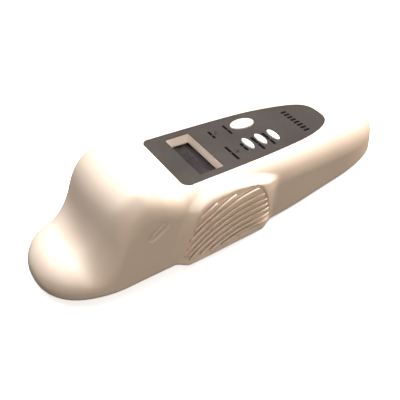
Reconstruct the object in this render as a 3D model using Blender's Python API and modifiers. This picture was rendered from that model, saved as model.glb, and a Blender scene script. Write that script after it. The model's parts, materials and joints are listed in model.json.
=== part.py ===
"""Hand-held microchip scanner for a veterinary clinic.

The antenna nose points along -X, the handle along +X, and +Z is up. The scanner lies on its flat
base, and the world's origin is the centre of the bounding box at the base. Lengths are written in
millimetres and multiplied by MM. Positions along X are measured from a station inside the body,
which the root empty moves so that the box is centred.

The outer form is one function: a plan outline, whose points move in towards a spine, under a top
height. Its two moulded shells are lofted from that function and thickened. Everything that belongs
to the sloping control panel is placed in the panel's own frame: +X runs from the panel's front edge
towards the handle, +Z is the panel's normal.
"""

import math

import bmesh
import bpy
from mathutils import Vector

MM = 0.001

# ---- driving dimensions, in millimetres ----
NOSE_TIP_X = -133.5
TAIL_TIP_X = 150.5
NOSE_CENTRE_X = -84.0       # centre of the round nose in plan
TAIL_CENTRE_X = 94.0        # centre of the round tail in plan
NOSE_POWER = 2.25           # superellipse exponents of the two ends
TAIL_POWER = 2.25
NOSE_SPINE_X = -108.0       # the top is drawn in towards a spine between these two stations
TAIL_SPINE_X = 118.0
NOSE_HALF_WIDTH = 41.0
WAIST_HALF_WIDTH = 42.5
TAIL_HALF_WIDTH = 34.6
TAIL_TAPER = (27.0, 125.0)  # the handle narrows and gets softer between these
WALL = 2.5
PARTING_Z = 3.0             # the upper housing meets the base cover here
GAP = 0.3                   # between pieces that touch

PANEL_FRONT_X = -29.8
PANEL_FRONT_Z = 53.8
PANEL_TILT = math.radians(5.92)
PANEL_LENGTH = 135.0
PANEL_HALF_WIDTH = 30.7
PANEL_CORNER = 6.0
SIDE_TAPER = 0.033          # the panel's label narrows this much per mm towards the handle
POINT_POWER = 4.33          # its point: share along ** POINT_POWER + share across ** POINT_BLUNT = 1
POINT_BLUNT = 3.09
POINT_STARTS = 0.88         # share of the label's length
OVERLAY_THICKNESS = 0.6
OVERLAY_RECESS = 0.6

DISPLAY_U = 25.1            # centre of the display, along the panel
DISPLAY_LENGTH = 19.0
DISPLAY_WIDTH = 47.0
WELL_DEPTH = 8.0
WELL_WALL = 1.75

LED_U = 52.0
LED_Y = 13.4
LED_RADIUS = 1.5

KEY_TRAVEL = 0.7
KEY_CLEARANCE = 0.4
KEY_PROUD = 1.2
KEY_FLANGE = 1.5
KEY_FLANGE_THICKNESS = 1.2
SCAN_KEY = ("scan_key", 74.9, 14.0, 9.7, 5.9)       # name, u, y, half length, half width
MENU_KEYS = [(f"menu_key_{i + 1}", 63.8 + 11.0 * i, -9.6, 2.65, 6.95) for i in range(3)]
KEYS = [SCAN_KEY] + MENU_KEYS
KEY_POST_RADIUS = 1.8
KEY_POST_END = -7.8
SWITCH_SIZE = 6.0
PLUNGER_RADIUS = 1.65

PANEL_BOARD_TOP = -13.3
BOARD_THICKNESS = 1.6
PANEL_BOARD_FRONT = 6.0
PANEL_BOARD_REAR = 99.0
PANEL_BOARD_HALF_WIDTH = 27.5
PANEL_POSTS = [(9.6, 23.0), (9.6, -23.0), (95.0, 18.0), (95.0, -18.0)]
PANEL_POST_RADIUS = 2.5

HOUSING_SCREWS = [(-95.0, 0.0), (-58.0, 29.0), (-58.0, -29.0), (47.0, 29.0), (47.0, -29.0), (134.0, 0.0)]
STANDOFF_TOP_Z = 10.0
STANDOFF_RADIUS = 5.0
PILLAR_RADIUS = 3.2
POST_RADIUS = 4.0
COUNTERBORE_RADIUS = 3.4
COUNTERBORE_TOP_Z = 5.0
SCREW_RADIUS = 1.5
SCREW_HEAD_RADIUS = 2.9
SCREW_TIP_Z = 20.0

MAIN_BOARD_Z = 13.0
MAIN_BOARD_REAR = 40.0
MAIN_BOARD_FRONT = -52.0
MAIN_BOARD_HALF_WIDTH = 34.0
BOARD_SCREWS = [(-47.0, 29.0), (-47.0, -29.0), (35.0, 29.0), (35.0, -29.0)]

DOOR_FRONT_X = 60.0
DOOR_REAR_X = 121.0
DOOR_HALF_WIDTH = 17.0
DOOR_THICKNESS = 2.2
DOOR_GAP = 0.4
BATTERY_FRONT_X = 70.0
BATTERY_LENGTH = 46.0
BATTERY_WIDTH = 26.0
BATTERY_HEIGHT = 17.0
BATTERY_BOTTOM_Z = 2.8

COIL_CENTRE_X = -95.0
COIL_HALF_LENGTH = 22.0
COIL_HALF_WIDTH = 26.0
COIL_BOTTOM_Z = 4.5
COIL_HEIGHT = 11.0

# The grip's ribs: front and rear end of each, as (x, z) on the side. They are arcs, bowed upwards.
RIBS = [((-30, 38.5), (-15.5, 43.4)), ((-34.5, 30.5), (-0.5, 42.6)), ((-38.5, 23.5), (17, 39.2)),
        ((-41, 16), (20.8, 33.6)), ((-43, 9.5), (22.3, 28.4)), ((-40.5, 7), (23.4, 23.3)),
        ((-32.5, 7), (24.3, 18.4)), ((-25, 6.5), (25.1, 13)), ((-15.5, 6.8), (25.6, 8.2)),
        ((-2, 7), (17, 6.8))]
RIB_BOW_RADIUS = 84.0
RIB_RADIUS = 1.0
RIB_SINK = 0.5              # how far a rib's centre line lies under the swelling's surface

# Top height along the centre: nose, concave front, hump. Behind the last knot it is the panel's plane.
TOP_KNOTS = [(-133.5, 23.2), (-124.0, 24.2), (-115.5, 23.8), (-108.0, 23.6), (-101.9, 26.2), (-96.3, 31.3),
             (-91.3, 38.8), (-87.4, 47.0), (-82.7, 54.9), (-76.2, 61.3), (-66.3, 65.4), (-59.2, 66.0),
             (-50.8, 63.5), (-43.0, 59.0), (-35.0, 54.9)]
HUMP_WRAP = 0.0028          # how fast the hump's front falls back towards the sides, per mm

# Rounded top edge, as (across, down), in four stretches, and the rounded base edge.
NOSE_EDGE = (26.0, 14.2)
HUMP_EDGE = (15.0, 19.0)
PANEL_EDGE = (13.0, 17.5)
TAIL_EDGE = (25.0, 21.5)
NOSE_BASE_EDGE = 8.0
BASE_EDGE = 5.0
GRIP_SWELL = 5.3            # how far the side grip's swelling stands out of the side
SWELL_FRONT_FADE = 9.0
SWELL_LEDGE_FADE = 4.5
SWELL_CORNER = 2.0          # rounding between its front and its ledge, in fades
MOST_INSET = 0.92           # a rounded edge reaches at most this share of the way to the spine

# ---- the outer form ----

def ease(low, high, x):
    """Smooth step from 0 at low to 1 at high."""
    t = min(1.0, max(0.0, (x - low) / (high - low)))
    return t * t * (3 - 2 * t)


def panel_plane(x):
    return PANEL_FRONT_Z - math.tan(PANEL_TILT) * (x - PANEL_FRONT_X)


def top_along(x):
    """Top height on the centre line: a cubic through the knots, then the panel's plane."""
    (first_x, first_z), (last_x, _) = TOP_KNOTS[0], TOP_KNOTS[-1]
    if x <= first_x:
        return first_z
    knots = [(first_x - 10, first_z)] + TOP_KNOTS
    knots += [(last_x + step, panel_plane(last_x + step)) for step in (7, 14)]
    for (xa, za), (xb, zb), (xc, zc), (xd, zd) in zip(knots, knots[1:], knots[2:], knots[3:]):
        if xb <= x <= xc:
            t = (x - xb) / (xc - xb)
            slope_b = (zc - za) / (xc - xa) * (xc - xb)
            slope_c = (zd - zb) / (xd - xb) * (xc - xb)
            return ((2 * t ** 3 - 3 * t * t + 1) * zb + (t ** 3 - 2 * t * t + t) * slope_b
                    + (3 * t * t - 2 * t ** 3) * zc + (t ** 3 - t * t) * slope_c)
    return panel_plane(x)


def top_height(x, y):
    on_front = 1 - ease(-75, -55, x)
    return top_along(x - HUMP_WRAP * y * y * on_front)


def skin_height(x, y):
    """Height of the outer skin over a point well inside the outline, with the rounded edge allowed for."""
    to_edge = min(half_width(x) - abs(y), TAIL_TIP_X - x, x - NOSE_TIP_X)
    across, down = edge_rounding(x)
    share = max(0.0, 1 - to_edge / across)
    return top_height(x, y) - down * (1 - math.sqrt(1 - share * share))


def half_width(x):
    middle = (NOSE_HALF_WIDTH + (WAIST_HALF_WIDTH - NOSE_HALF_WIDTH) * ease(NOSE_CENTRE_X, -20, x)
              - (WAIST_HALF_WIDTH - TAIL_HALF_WIDTH) * ease(*TAIL_TAPER, x))
    if x < NOSE_CENTRE_X:
        share = (NOSE_CENTRE_X - x) / (NOSE_CENTRE_X - NOSE_TIP_X)
        return middle * max(0.0, 1 - share ** NOSE_POWER) ** (1 / NOSE_POWER)
    if x > TAIL_CENTRE_X:
        share = (x - TAIL_CENTRE_X) / (TAIL_TIP_X - TAIL_CENTRE_X)
        return middle * max(0.0, 1 - share ** TAIL_POWER) ** (1 / TAIL_POWER)
    return middle


def blend(first, second, share):
    return tuple(a + (b - a) * share for a, b in zip(first, second))


def edge_rounding(x):
    """(across, down): how far the top's rounded edge reaches in from the side, and down from the top."""
    rounding = blend(NOSE_EDGE, HUMP_EDGE, ease(-108, -80, x))
    rounding = blend(rounding, PANEL_EDGE, ease(-62, -30, x))
    return blend(rounding, TAIL_EDGE, ease(*TAIL_TAPER, x))


def base_rounding(x):
    return NOSE_BASE_EDGE + (BASE_EDGE - NOSE_BASE_EDGE) * ease(-112, -80, x)


def grip_swell(x, z):
    """How far the side grip's swelling stands out of the side: it fades at its front, top and rear."""
    from_front = (x + 49 - 0.0062 * z * z) / SWELL_FRONT_FADE
    from_ledge = (51.4 - 0.0040 * max(0.0, x + 19) ** 2 - z) / SWELL_LEDGE_FADE
    corner = math.hypot(max(SWELL_CORNER - from_front, 0), max(SWELL_CORNER - from_ledge, 0))
    rear = 1 - ease(17 + 0.1 * z, 30 + 0.25 * z, x)
    return GRIP_SWELL * ease(0, 1, SWELL_CORNER - corner) * rear


def end_stations(tip_x, spine_x, steps):
    """Stations along X from a tip to the spine's end, closer together near the tip."""
    return [spine_x + (tip_x - spine_x) * math.cos(math.pi / 2 * i / steps) for i in range(steps)]


def full_outline():
    """The plan outline: from the nose tip along +Y to the tail tip, and back along -Y."""
    nose = end_stations(NOSE_TIP_X, NOSE_SPINE_X, 6)
    tail = end_stations(TAIL_TIP_X, TAIL_SPINE_X, 6)
    side = [-102, -97, -92, -88, -84, -79, -73, -67, -62, -57, -51, -47, -43, -38, -32, -22, -8,
            6, 16, 22, 28, 34, 48, 64, 82, 102]
    stations = nose + [NOSE_SPINE_X] + side + [TAIL_SPINE_X] + list(reversed(tail))
    half = [(x, half_width(x)) for x in stations]
    return half + [(x, -y) for x, y in reversed(half[1:-1])]


def inset(point, distance):
    """The outline point moved in towards the spine, and how far it is from the spine."""
    x, y = point
    spine_x = min(TAIL_SPINE_X, max(NOSE_SPINE_X, x))
    reach = math.hypot(x - spine_x, y)
    share = min(1.0, distance / reach)
    return x + (spine_x - x) * share, y * (1 - share), reach


def side_point(point, z, distance):
    """A point of the side wall or of its rounded edges, with the grip's swelling added."""
    x, y, _ = inset(point, distance)
    if abs(y) > 1:
        y += math.copysign(grip_swell(x, z), y)
    return x * MM, y * MM, z * MM


def top_rings(outline):
    """Rings from the top of the side wall, over the rounded edge, in to the spine."""
    rings = []
    for angle in (0, 22, 45, 67, 90):
        share = 1 - math.cos(math.radians(angle))
        rise = math.sin(math.radians(angle))
        ring = []
        for point in outline:
            across, down = edge_rounding(point[0])
            across = min(across, inset(point, 0)[2] * MOST_INSET)
            x, y, _ = inset(point, across * share)
            ring.append(side_point(point, top_height(x, y) - down * (1 - rise), across * share))
        rings.append(ring)
    for share in (0.5, 1.0):
        ring = []
        for point in outline:
            across = min(edge_rounding(point[0])[0], inset(point, 0)[2] * MOST_INSET)
            reach = inset(point, 0)[2]
            x, y, _ = inset(point, across + (reach - across) * share)
            ring.append((x * MM, y * MM, top_height(x, y) * MM))
        rings.append(ring)
    return rings


def wall_rings(outline, steps):
    """Rings down the side wall, without its top one."""
    rings = []
    for step in range(1, steps + 1):
        ring = []
        for point in outline:
            high = top_height(*point) - edge_rounding(point[0])[1]
            low = base_rounding(point[0])
            ring.append(side_point(point, high + (low - high) * step / steps, 0))
        rings.append(ring)
    return rings


def base_rings(outline, angles):
    """Rings round the rounded base edge. 0 degrees is the wall, 90 the flat base."""
    rings = []
    for angle in angles:
        ring = []
        for point in outline:
            radius = min(base_rounding(point[0]), inset(point, 0)[2] * MOST_INSET)
            distance = radius * (1 - math.cos(math.radians(angle)))
            height = base_rounding(point[0]) * (1 - math.sin(math.radians(angle)))
            ring.append(side_point(point, height, distance))
        rings.append(ring)
    return rings


# ---- building blocks ----

def clear_scene():
    for thing in list(bpy.data.objects):
        bpy.data.objects.remove(thing)


def make_collection(name, hidden=False):
    collection = bpy.data.collections.new(name)
    bpy.context.scene.collection.children.link(collection)
    collection.hide_render = hidden
    return collection


def make_material(name, colour, roughness, metallic=0.0, alpha=1.0):
    material = bpy.data.materials.new(name)
    material.use_nodes = True
    shader = material.node_tree.nodes["Principled BSDF"]
    shader.inputs["Base Color"].default_value = (*colour, 1.0)
    shader.inputs["Roughness"].default_value = roughness
    shader.inputs["Metallic"].default_value = metallic
    shader.inputs["Alpha"].default_value = alpha
    return material


def make_empty(name, parent, at):
    empty = bpy.data.objects.new(name, None)
    SCANNER.objects.link(empty)
    empty.parent = parent
    empty.location = Vector(at) * MM
    return empty


def adopt(thing, name, material=None, parent=None, cutter=False):
    """Names an object and puts it in its collection, on its parent or the root, with its material."""
    thing.name = name
    thing.data.name = name
    for collection in list(thing.users_collection):
        collection.objects.unlink(thing)
    (CUTTERS if cutter else SCANNER).objects.link(thing)
    thing.parent = parent or ROOT
    if cutter:
        thing.hide_render = True
        thing.display_type = "WIRE"
    elif material:
        thing.data.materials.append(material)
    return thing


def mesh_object(name, bm, **place):
    mesh = bpy.data.meshes.new(name)
    bm.to_mesh(mesh)
    bm.free()
    return adopt(bpy.data.objects.new(name, mesh), name, **place)


def loft(name, rings, thickness, **place):
    """An open surface through closed rings of equal length, thickened towards the middle of the body."""
    bm = bmesh.new()
    rows = [[bm.verts.new(co) for co in ring] for ring in rings]
    count = len(rings[0])
    for upper, lower in zip(rows, rows[1:]):
        for i in range(count):
            j = (i + 1) % count
            bm.faces.new((upper[i], upper[j], lower[j], lower[i]))
    bmesh.ops.remove_doubles(bm, verts=bm.verts, dist=0.0002)
    bmesh.ops.recalc_face_normals(bm, faces=bm.faces)
    middle = Vector((0, 0, 20 * MM))
    outwards = sum(f.normal.dot(f.calc_center_median() - middle) * f.calc_area() for f in bm.faces)
    if outwards < 0:
        bmesh.ops.reverse_faces(bm, faces=bm.faces)
    thing = mesh_object(name, bm, **place)
    solidify = thing.modifiers.new("wall", "SOLIDIFY")
    solidify.thickness = thickness * MM
    solidify.offset = -1
    return thing


def box(name, low, high, bevel=0.0, **place):
    """A box between two corners, in millimetres, with its origin at its centre."""
    bm = bmesh.new()
    bmesh.ops.create_cube(bm, size=1)
    size = [(b - a) * MM for a, b in zip(low, high)]
    bmesh.ops.scale(bm, vec=size, verts=bm.verts)
    thing = mesh_object(name, bm, **place)
    thing.location = [(a + b) / 2 * MM for a, b in zip(low, high)]
    if bevel:
        add_bevel(thing, bevel)
    return thing


def rod(name, radius, low_z, high_z, at, sides=16, **place):
    """An upright cylinder at (x, y), in millimetres."""
    bm = bmesh.new()
    bmesh.ops.create_cone(bm, cap_ends=True, segments=sides, radius1=radius * MM,
                          radius2=radius * MM, depth=(high_z - low_z) * MM)
    thing = mesh_object(name, bm, **place)
    thing.location = (at[0] * MM, at[1] * MM, (low_z + high_z) / 2 * MM)
    return thing


def prism(name, outline, low_z, high_z, **place):
    """A flat outline of (x, y) points in millimetres, extruded upright."""
    bm = bmesh.new()
    face = bm.faces.new([bm.verts.new((x * MM, y * MM, low_z * MM)) for x, y in outline])
    made = bmesh.ops.extrude_face_region(bm, geom=[face])
    moved = [v for v in made["geom"] if isinstance(v, bmesh.types.BMVert)]
    bmesh.ops.translate(bm, vec=(0, 0, (high_z - low_z) * MM), verts=moved)
    bmesh.ops.recalc_face_normals(bm, faces=bm.faces)
    return mesh_object(name, bm, **place)


def turned(name, profile, at, sides=16, **place):
    """A turned piece about the upright axis at (x, y). The profile runs from top to bottom."""
    mesh = bpy.data.meshes.new(name)
    points = [(r * MM, 0, z * MM) for r, z in profile]
    mesh.from_pydata(points, [(i, i + 1) for i in range(len(points) - 1)], [])
    thing = adopt(bpy.data.objects.new(name, mesh), name, **place)
    thing.location = (at[0] * MM, at[1] * MM, 0)
    screw = thing.modifiers.new("turn", "SCREW")
    screw.steps = sides
    screw.render_steps = sides
    screw.use_merge_vertices = True
    screw.merge_threshold = 0.00005
    return thing


def tube(name, points, radius, **place):
    """A round wire through points, smoothed."""
    curve = bpy.data.curves.new(name, "CURVE")
    curve.dimensions = "3D"
    curve.bevel_depth = radius * MM
    curve.bevel_resolution = 1
    curve.use_fill_caps = True
    route = smooth_route([Vector(p) * MM for p in points])
    spline = curve.splines.new("POLY")
    spline.points.add(len(route) - 1)
    for point, co in zip(spline.points, route):
        point.co = (*co, 1)
    return adopt(bpy.data.objects.new(name, curve), name, **place)


def smooth_route(points, steps=3):
    """A Catmull-Rom curve through the points."""
    ends = [2 * points[0] - points[1]] + points + [2 * points[-1] - points[-2]]
    route = []
    for a, b, c, d in zip(ends, ends[1:], ends[2:], ends[3:]):
        for step in range(steps):
            t = step / steps
            route.append(0.5 * (2 * b + (c - a) * t + (2 * a - 5 * b + 4 * c - d) * t * t
                                + (3 * b - a - 3 * c + d) * t ** 3))
    return route + [points[-1]]


def add_bevel(thing, width, segments=1):
    bevel = thing.modifiers.new("edges", "BEVEL")
    bevel.width = width * MM
    bevel.segments = segments
    bevel.limit_method = "ANGLE"


def cut(thing, cutter):
    modifier = thing.modifiers.new("cut " + cutter.name, "BOOLEAN")
    modifier.operation = "DIFFERENCE"
    modifier.solver = "EXACT"
    modifier.object = cutter


def join(thing, addition):
    modifier = thing.modifiers.new("join " + addition.name, "BOOLEAN")
    modifier.operation = "UNION"
    modifier.solver = "EXACT"
    modifier.object = addition


def ellipse(u, y, half_length, half_width_, count=28):
    angles = [2 * math.pi * i / count for i in range(count)]
    return [(u + half_length * math.cos(a), y + half_width_ * math.sin(a)) for a in angles]


def smooth_shading(thing, angle=40):
    thing.data.shade_smooth()
    thing.data.set_sharp_from_angle(angle=math.radians(angle))


# ---- the two moulded shells ----

def overlay_outline(shrink=0.0):
    """The bullet-shaped label, in the panel's frame: a straight front edge, round corners, a long point."""
    half = []
    for i in range(5):
        angle = math.pi / 2 * (1 - i / 4)
        u = shrink + PANEL_CORNER * (1 - math.sin(angle))
        y = PANEL_HALF_WIDTH - shrink - PANEL_CORNER * (1 - math.cos(angle))
        half.append((u, y))
    first = 2 * PANEL_CORNER / PANEL_LENGTH
    shares = []
    for i in range(7):
        along = first + (POINT_STARTS - first) * i / 6
        shares.append((along, (1 - along ** POINT_POWER) ** (1 / POINT_BLUNT)))
    widest = shares[-1][1]
    for i in range(1, 6):
        across = widest * math.cos(math.pi / 2 * i / 6)
        shares.append(((1 - across ** POINT_BLUNT) ** (1 / POINT_POWER), across))
    for along, across in shares:
        u = shrink + (PANEL_LENGTH - 2 * shrink) * along
        half.append((u, (PANEL_HALF_WIDTH - shrink - SIDE_TAPER * u) * across))
    tip = (PANEL_LENGTH - shrink, 0.0)
    return half + [tip] + [(u, -y) for u, y in reversed(half)]


def display_rect(grow):
    half_length = DISPLAY_LENGTH / 2 + grow
    half_across = DISPLAY_WIDTH / 2 + grow
    return (DISPLAY_U - half_length, -half_across), (DISPLAY_U + half_length, half_across)


def panel_box(name, grow, low, high, **place):
    (u0, y0), (u1, y1) = display_rect(grow)
    return box(name, (u0, y0, low), (u1, y1, high), parent=PANEL, **place)


def make_upper_housing():
    outline = full_outline()
    rings = top_rings(outline)
    rings = list(reversed(rings)) + wall_rings(outline, 4) + base_rings(outline, (22, 45, 70))
    housing = loft("upper_housing", rings, WALL, material=IVORY)
    cut(housing, box("parting_cut", (-200, -100, -20), (200, 100, PARTING_Z), cutter=True))
    join(housing, panel_box("display_well", WELL_WALL, -WELL_DEPTH, -OVERLAY_RECESS - 0.4, cutter=True))
    for i, (x, y) in enumerate(HOUSING_SCREWS):
        rim = [skin_height(x + dx * POST_RADIUS, y + dy * POST_RADIUS)
               for dx, dy in ((1, 0), (-1, 0), (0, 1), (0, -1))]
        top = min(rim) - WALL * 0.4
        join(housing, rod(f"post_{i + 1}", POST_RADIUS, STANDOFF_TOP_Z + GAP, top, (x, y), 12, cutter=True))
    for i, (u, y) in enumerate(PANEL_POSTS):
        join(housing, rod(f"panel_post_{i + 1}", PANEL_POST_RADIUS, PANEL_BOARD_TOP + GAP, -1.4, (u, y), 10,
                          parent=PANEL, cutter=True))
    for side in (1, -1):
        for i, (front, rear) in enumerate(RIBS):
            join(housing, make_rib(f"rib_{i + 1}_{side}", rib_route(front, rear, side)))
    recess = prism("overlay_recess", overlay_outline(-GAP), -OVERLAY_RECESS, 12, parent=PANEL, cutter=True)
    cut(housing, recess)
    cut(housing, panel_box("display_opening", 0, -WELL_DEPTH - 5, 12, cutter=True))
    for name, u, y, a, b in KEYS:
        hole = ellipse(u, y, a + KEY_CLEARANCE, b + KEY_CLEARANCE)
        cut(housing, prism(name + "_hole", hole, -6, 6, parent=PANEL, cutter=True))
    for side in (1, -1):
        cut(housing, rod(f"led_hole_{side}", LED_RADIUS + KEY_CLEARANCE, -6, 6, (LED_U, side * LED_Y), 12,
                         parent=PANEL, cutter=True))
    for i, (x, y) in enumerate(HOUSING_SCREWS):
        cut(housing, rod(f"pilot_{i + 1}", SCREW_RADIUS + GAP, -5, SCREW_TIP_Z + 2, (x, y), 10, cutter=True))
    for i, (u, y) in enumerate(PANEL_POSTS):
        cut(housing, rod(f"panel_pilot_{i + 1}", 1.3, PANEL_BOARD_TOP - 5, -6.5, (u, y), 8,
                         parent=PANEL, cutter=True))
    smooth_shading(housing)


def swelling_surface(x, z):
    """How far the grip's swelling lies from the middle plane, on the side wall or its rounded top edge."""
    across, down = edge_rounding(x)
    rise = min(1.0, max(0.0, 1 - (top_height(x, 0) - z) / down))
    return half_width(x) - across * (1 - math.sqrt(1 - rise * rise)) + grip_swell(x, z)


def rib_route(front, rear, side):
    """Centre line of a rib along the grip: an arc between its ends, on the swelling's surface."""
    (x0, z0), (x1, z1) = front, rear
    length = math.hypot(x1 - x0, z1 - z0)
    steps = max(3, round(length / 12))
    route = []
    for step in range(steps + 1):
        t = step / steps
        bow = t * (1 - t) * length * length / (2 * RIB_BOW_RADIUS)
        x = x0 + (x1 - x0) * t - bow * (z1 - z0) / length
        z = z0 + (z1 - z0) * t + bow * (x1 - x0) / length
        y = swelling_surface(x, z) - RIB_SINK
        route.append(Vector((x, side * y, z)) * MM)
    return route


def make_rib(name, route):
    """A six-sided bar along the route, sunk at both ends."""
    bm = bmesh.new()
    sunk = Vector((0, math.copysign(0.5 * MM, route[0].y), 0))
    points = [route[0] - sunk] + route[1:-1] + [route[-1] - sunk]
    rings = []
    for before, here, after in zip([points[0]] + points, points, points[1:] + [points[-1]]):
        along = (after - before).normalized()
        out = Vector((0, math.copysign(1, here.y), 0))
        up = along.cross(out).normalized()
        ring = []
        for i in range(6):
            angle = math.pi / 3 * i
            offset = out * math.cos(angle) + up * math.sin(angle)
            ring.append(bm.verts.new(here + offset * RIB_RADIUS * MM))
        rings.append(ring)
    for first, second in zip(rings, rings[1:]):
        for i in range(6):
            j = (i + 1) % 6
            bm.faces.new((first[i], first[j], second[j], second[i]))
    bm.faces.new(rings[0])
    bm.faces.new(rings[-1])
    bmesh.ops.recalc_face_normals(bm, faces=bm.faces)
    return mesh_object(name, bm, cutter=True)


def make_base_cover():
    outline = full_outline()
    rings = base_rings(outline, (0, 35, 65, 90))
    spine = [(min(TAIL_SPINE_X, max(NOSE_SPINE_X, x)) * MM, 0, 0) for x, _ in outline]
    rings.append(spine)
    cover = loft("base_cover", rings, WALL, material=IVORY)
    cut(cover, box("parting_cut_base", (-200, -100, PARTING_Z - GAP), (200, 100, 40), cutter=True))
    for i, (x, y) in enumerate(HOUSING_SCREWS):
        join(cover, rod(f"standoff_{i + 1}", STANDOFF_RADIUS, 0.8, STANDOFF_TOP_Z, (x, y), 16, cutter=True))
    for i, (x, y) in enumerate(BOARD_SCREWS):
        join(cover, rod(f"pillar_{i + 1}", PILLAR_RADIUS, 0.8, MAIN_BOARD_Z - GAP, (x, y), 10, cutter=True))
    bay_low = (DOOR_FRONT_X - 2.5, -DOOR_HALF_WIDTH - 2, 0.8)
    bay_high = (DOOR_REAR_X + 2.0, DOOR_HALF_WIDTH + 2, 14)
    join(cover, box("battery_bay", bay_low, bay_high, cutter=True))
    cut(cover, box("battery_bay_hollow", (DOOR_FRONT_X - 1, -DOOR_HALF_WIDTH + 0.2, WALL),
                   (DOOR_REAR_X + 0.5, DOOR_HALF_WIDTH - 0.2, 20), cutter=True))
    cut(cover, box("door_opening", (DOOR_FRONT_X, -DOOR_HALF_WIDTH, -5),
                   (DOOR_REAR_X, DOOR_HALF_WIDTH, WALL + 1), cutter=True))
    cut(cover, box("lead_notch", (DOOR_FRONT_X - 4, -5, 9.5), (DOOR_FRONT_X + 1, 5, 20), cutter=True))
    for i, (x, y) in enumerate(HOUSING_SCREWS):
        cut(cover, rod(f"counterbore_{i + 1}", COUNTERBORE_RADIUS, -5, COUNTERBORE_TOP_Z, (x, y), 14,
                       cutter=True))
        cut(cover, rod(f"clearance_{i + 1}", SCREW_RADIUS + GAP, -5, 20, (x, y), 10, cutter=True))
    for i, (x, y) in enumerate(BOARD_SCREWS):
        cut(cover, rod(f"pillar_pilot_{i + 1}", 1.4, 6, 20, (x, y), 8, cutter=True))
    smooth_shading(cover)


def make_battery_door():
    """The door tips out about its front lower edge, where its origin is. Two tabs hook over the base."""
    pivot = make_empty("door_pivot", ROOT, (DOOR_FRONT_X, 0, 0))
    length = DOOR_REAR_X - DOOR_FRONT_X - DOOR_GAP
    across = DOOR_HALF_WIDTH - DOOR_GAP
    door = box("battery_door", (DOOR_GAP, -across, 0), (length, across, DOOR_THICKNESS),
               material=IVORY, parent=pivot)
    for side in (1, -1):
        y0, y1 = sorted((side * 7, side * 12))
        join(door, box(f"door_tab_{side}", (-0.7, y0, WALL + GAP + 0.1), (4, y1, 4.2), parent=pivot,
                       cutter=True))
        join(door, box(f"door_tab_root_{side}", (1.2, y0 + 0.2, 1.0), (3.8, y1 - 0.2, 3.6), parent=pivot,
                       cutter=True))
    join(door, box("door_latch", (length - 2.6, -5, 1.0), (length - 1.0, 5, 7), parent=pivot, cutter=True))
    for i in range(4):
        x = length - 18 + 2.6 * i
        cut(door, box(f"thumb_groove_{i + 1}", (x, -9, -1), (x + 1.2, 9, 0.7), parent=pivot, cutter=True))


# ---- the control panel ----

def make_overlay():
    overlay = prism("panel_overlay", overlay_outline(), GAP - OVERLAY_RECESS,
                    GAP - OVERLAY_RECESS + OVERLAY_THICKNESS, material=GRAPHITE, parent=PANEL)
    cut(overlay, panel_box("overlay_window", 0, -5, 5, cutter=True))
    for name, u, y, a, b in KEYS:
        hole = ellipse(u, y, a + KEY_CLEARANCE, b + KEY_CLEARANCE)
        cut(overlay, prism(name + "_overlay_hole", hole, -5, 5, parent=PANEL, cutter=True))
    for side in (1, -1):
        cut(overlay, rod(f"led_overlay_hole_{side}", LED_RADIUS + KEY_CLEARANCE, -5, 5,
                         (LED_U, side * LED_Y), 12, parent=PANEL, cutter=True))


def make_display():
    """Clear window under the well, then the display cell in its metal frame on the panel board."""
    top = -WELL_DEPTH - GAP
    panel_box("display_window", 1.5, top - 1.0, top, material=CLEAR)
    panel_box("display_cell", 0.6, PANEL_BOARD_TOP + GAP, top - 1.0 - GAP, material=DISPLAY)
    frame = panel_box("display_frame", 2.6, PANEL_BOARD_TOP + GAP, top - 1.0 - GAP, material=STEEL)
    cut(frame, panel_box("display_frame_hollow", 0.9, PANEL_BOARD_TOP - 1, 0, cutter=True))


def make_key(name, u, y, half_length, half_across):
    """A domed oval cap, its flange under the panel, and a post that presses the switch's plunger."""
    holder = make_empty(name + "_axis", PANEL, (u, y, 0))
    count = 20
    dome = [(0.55, KEY_PROUD - 0.1), (0.85, KEY_PROUD - 0.45), (1.0, KEY_PROUD - 1.1)]
    under_wall = -WALL - OVERLAY_RECESS - GAP
    bm = bmesh.new()
    flange_end = under_wall - KEY_FLANGE_THICKNESS
    rings = [(half_length * share, half_across * share, height) for share, height in dome]
    rings.append((half_length, half_across, under_wall))
    rings.append((half_length + KEY_FLANGE, half_across + KEY_FLANGE, under_wall))
    rings.append((half_length + KEY_FLANGE, half_across + KEY_FLANGE, flange_end))
    rings.append((KEY_POST_RADIUS, KEY_POST_RADIUS, flange_end))
    rings.append((KEY_POST_RADIUS, KEY_POST_RADIUS, KEY_POST_END))
    rows = []
    for a, b, z in rings:
        rows.append([bm.verts.new((px * MM, py * MM, z * MM)) for px, py in ellipse(0, 0, a, b, count)])
    for upper, lower in zip(rows, rows[1:]):
        for i in range(count):
            j = (i + 1) % count
            bm.faces.new((upper[i], lower[i], lower[j], upper[j]))
    crown = bm.verts.new((0, 0, KEY_PROUD * MM))
    for i in range(count):
        bm.faces.new((rows[0][i], rows[0][(i + 1) % count], crown))
    bm.faces.new(list(reversed(rows[-1])))
    bmesh.ops.recalc_face_normals(bm, faces=bm.faces)
    smooth_shading(mesh_object(name, bm, material=WHITE, parent=holder))
    make_switch(name, holder)


def make_switch(name, holder):
    """The tactile switch under a key, and the plunger that moves with the key."""
    body_top = KEY_POST_END - 1.7
    plunger_end = body_top - 1.0
    half = SWITCH_SIZE / 2
    body = box(name.replace("key", "switch"), (-half, -half, PANEL_BOARD_TOP + GAP), (half, half, body_top),
               material=BLACK, parent=holder)
    bore_end = plunger_end - KEY_TRAVEL - GAP
    cut(body, rod(name + "_switch_bore", PLUNGER_RADIUS + 0.35, bore_end, body_top + 2, (0, 0), 12,
                  parent=holder, cutter=True))
    rod(name.replace("key", "plunger"), PLUNGER_RADIUS, plunger_end, KEY_POST_END - GAP, (0, 0), 12,
        material=BLACK, parent=holder)


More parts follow.
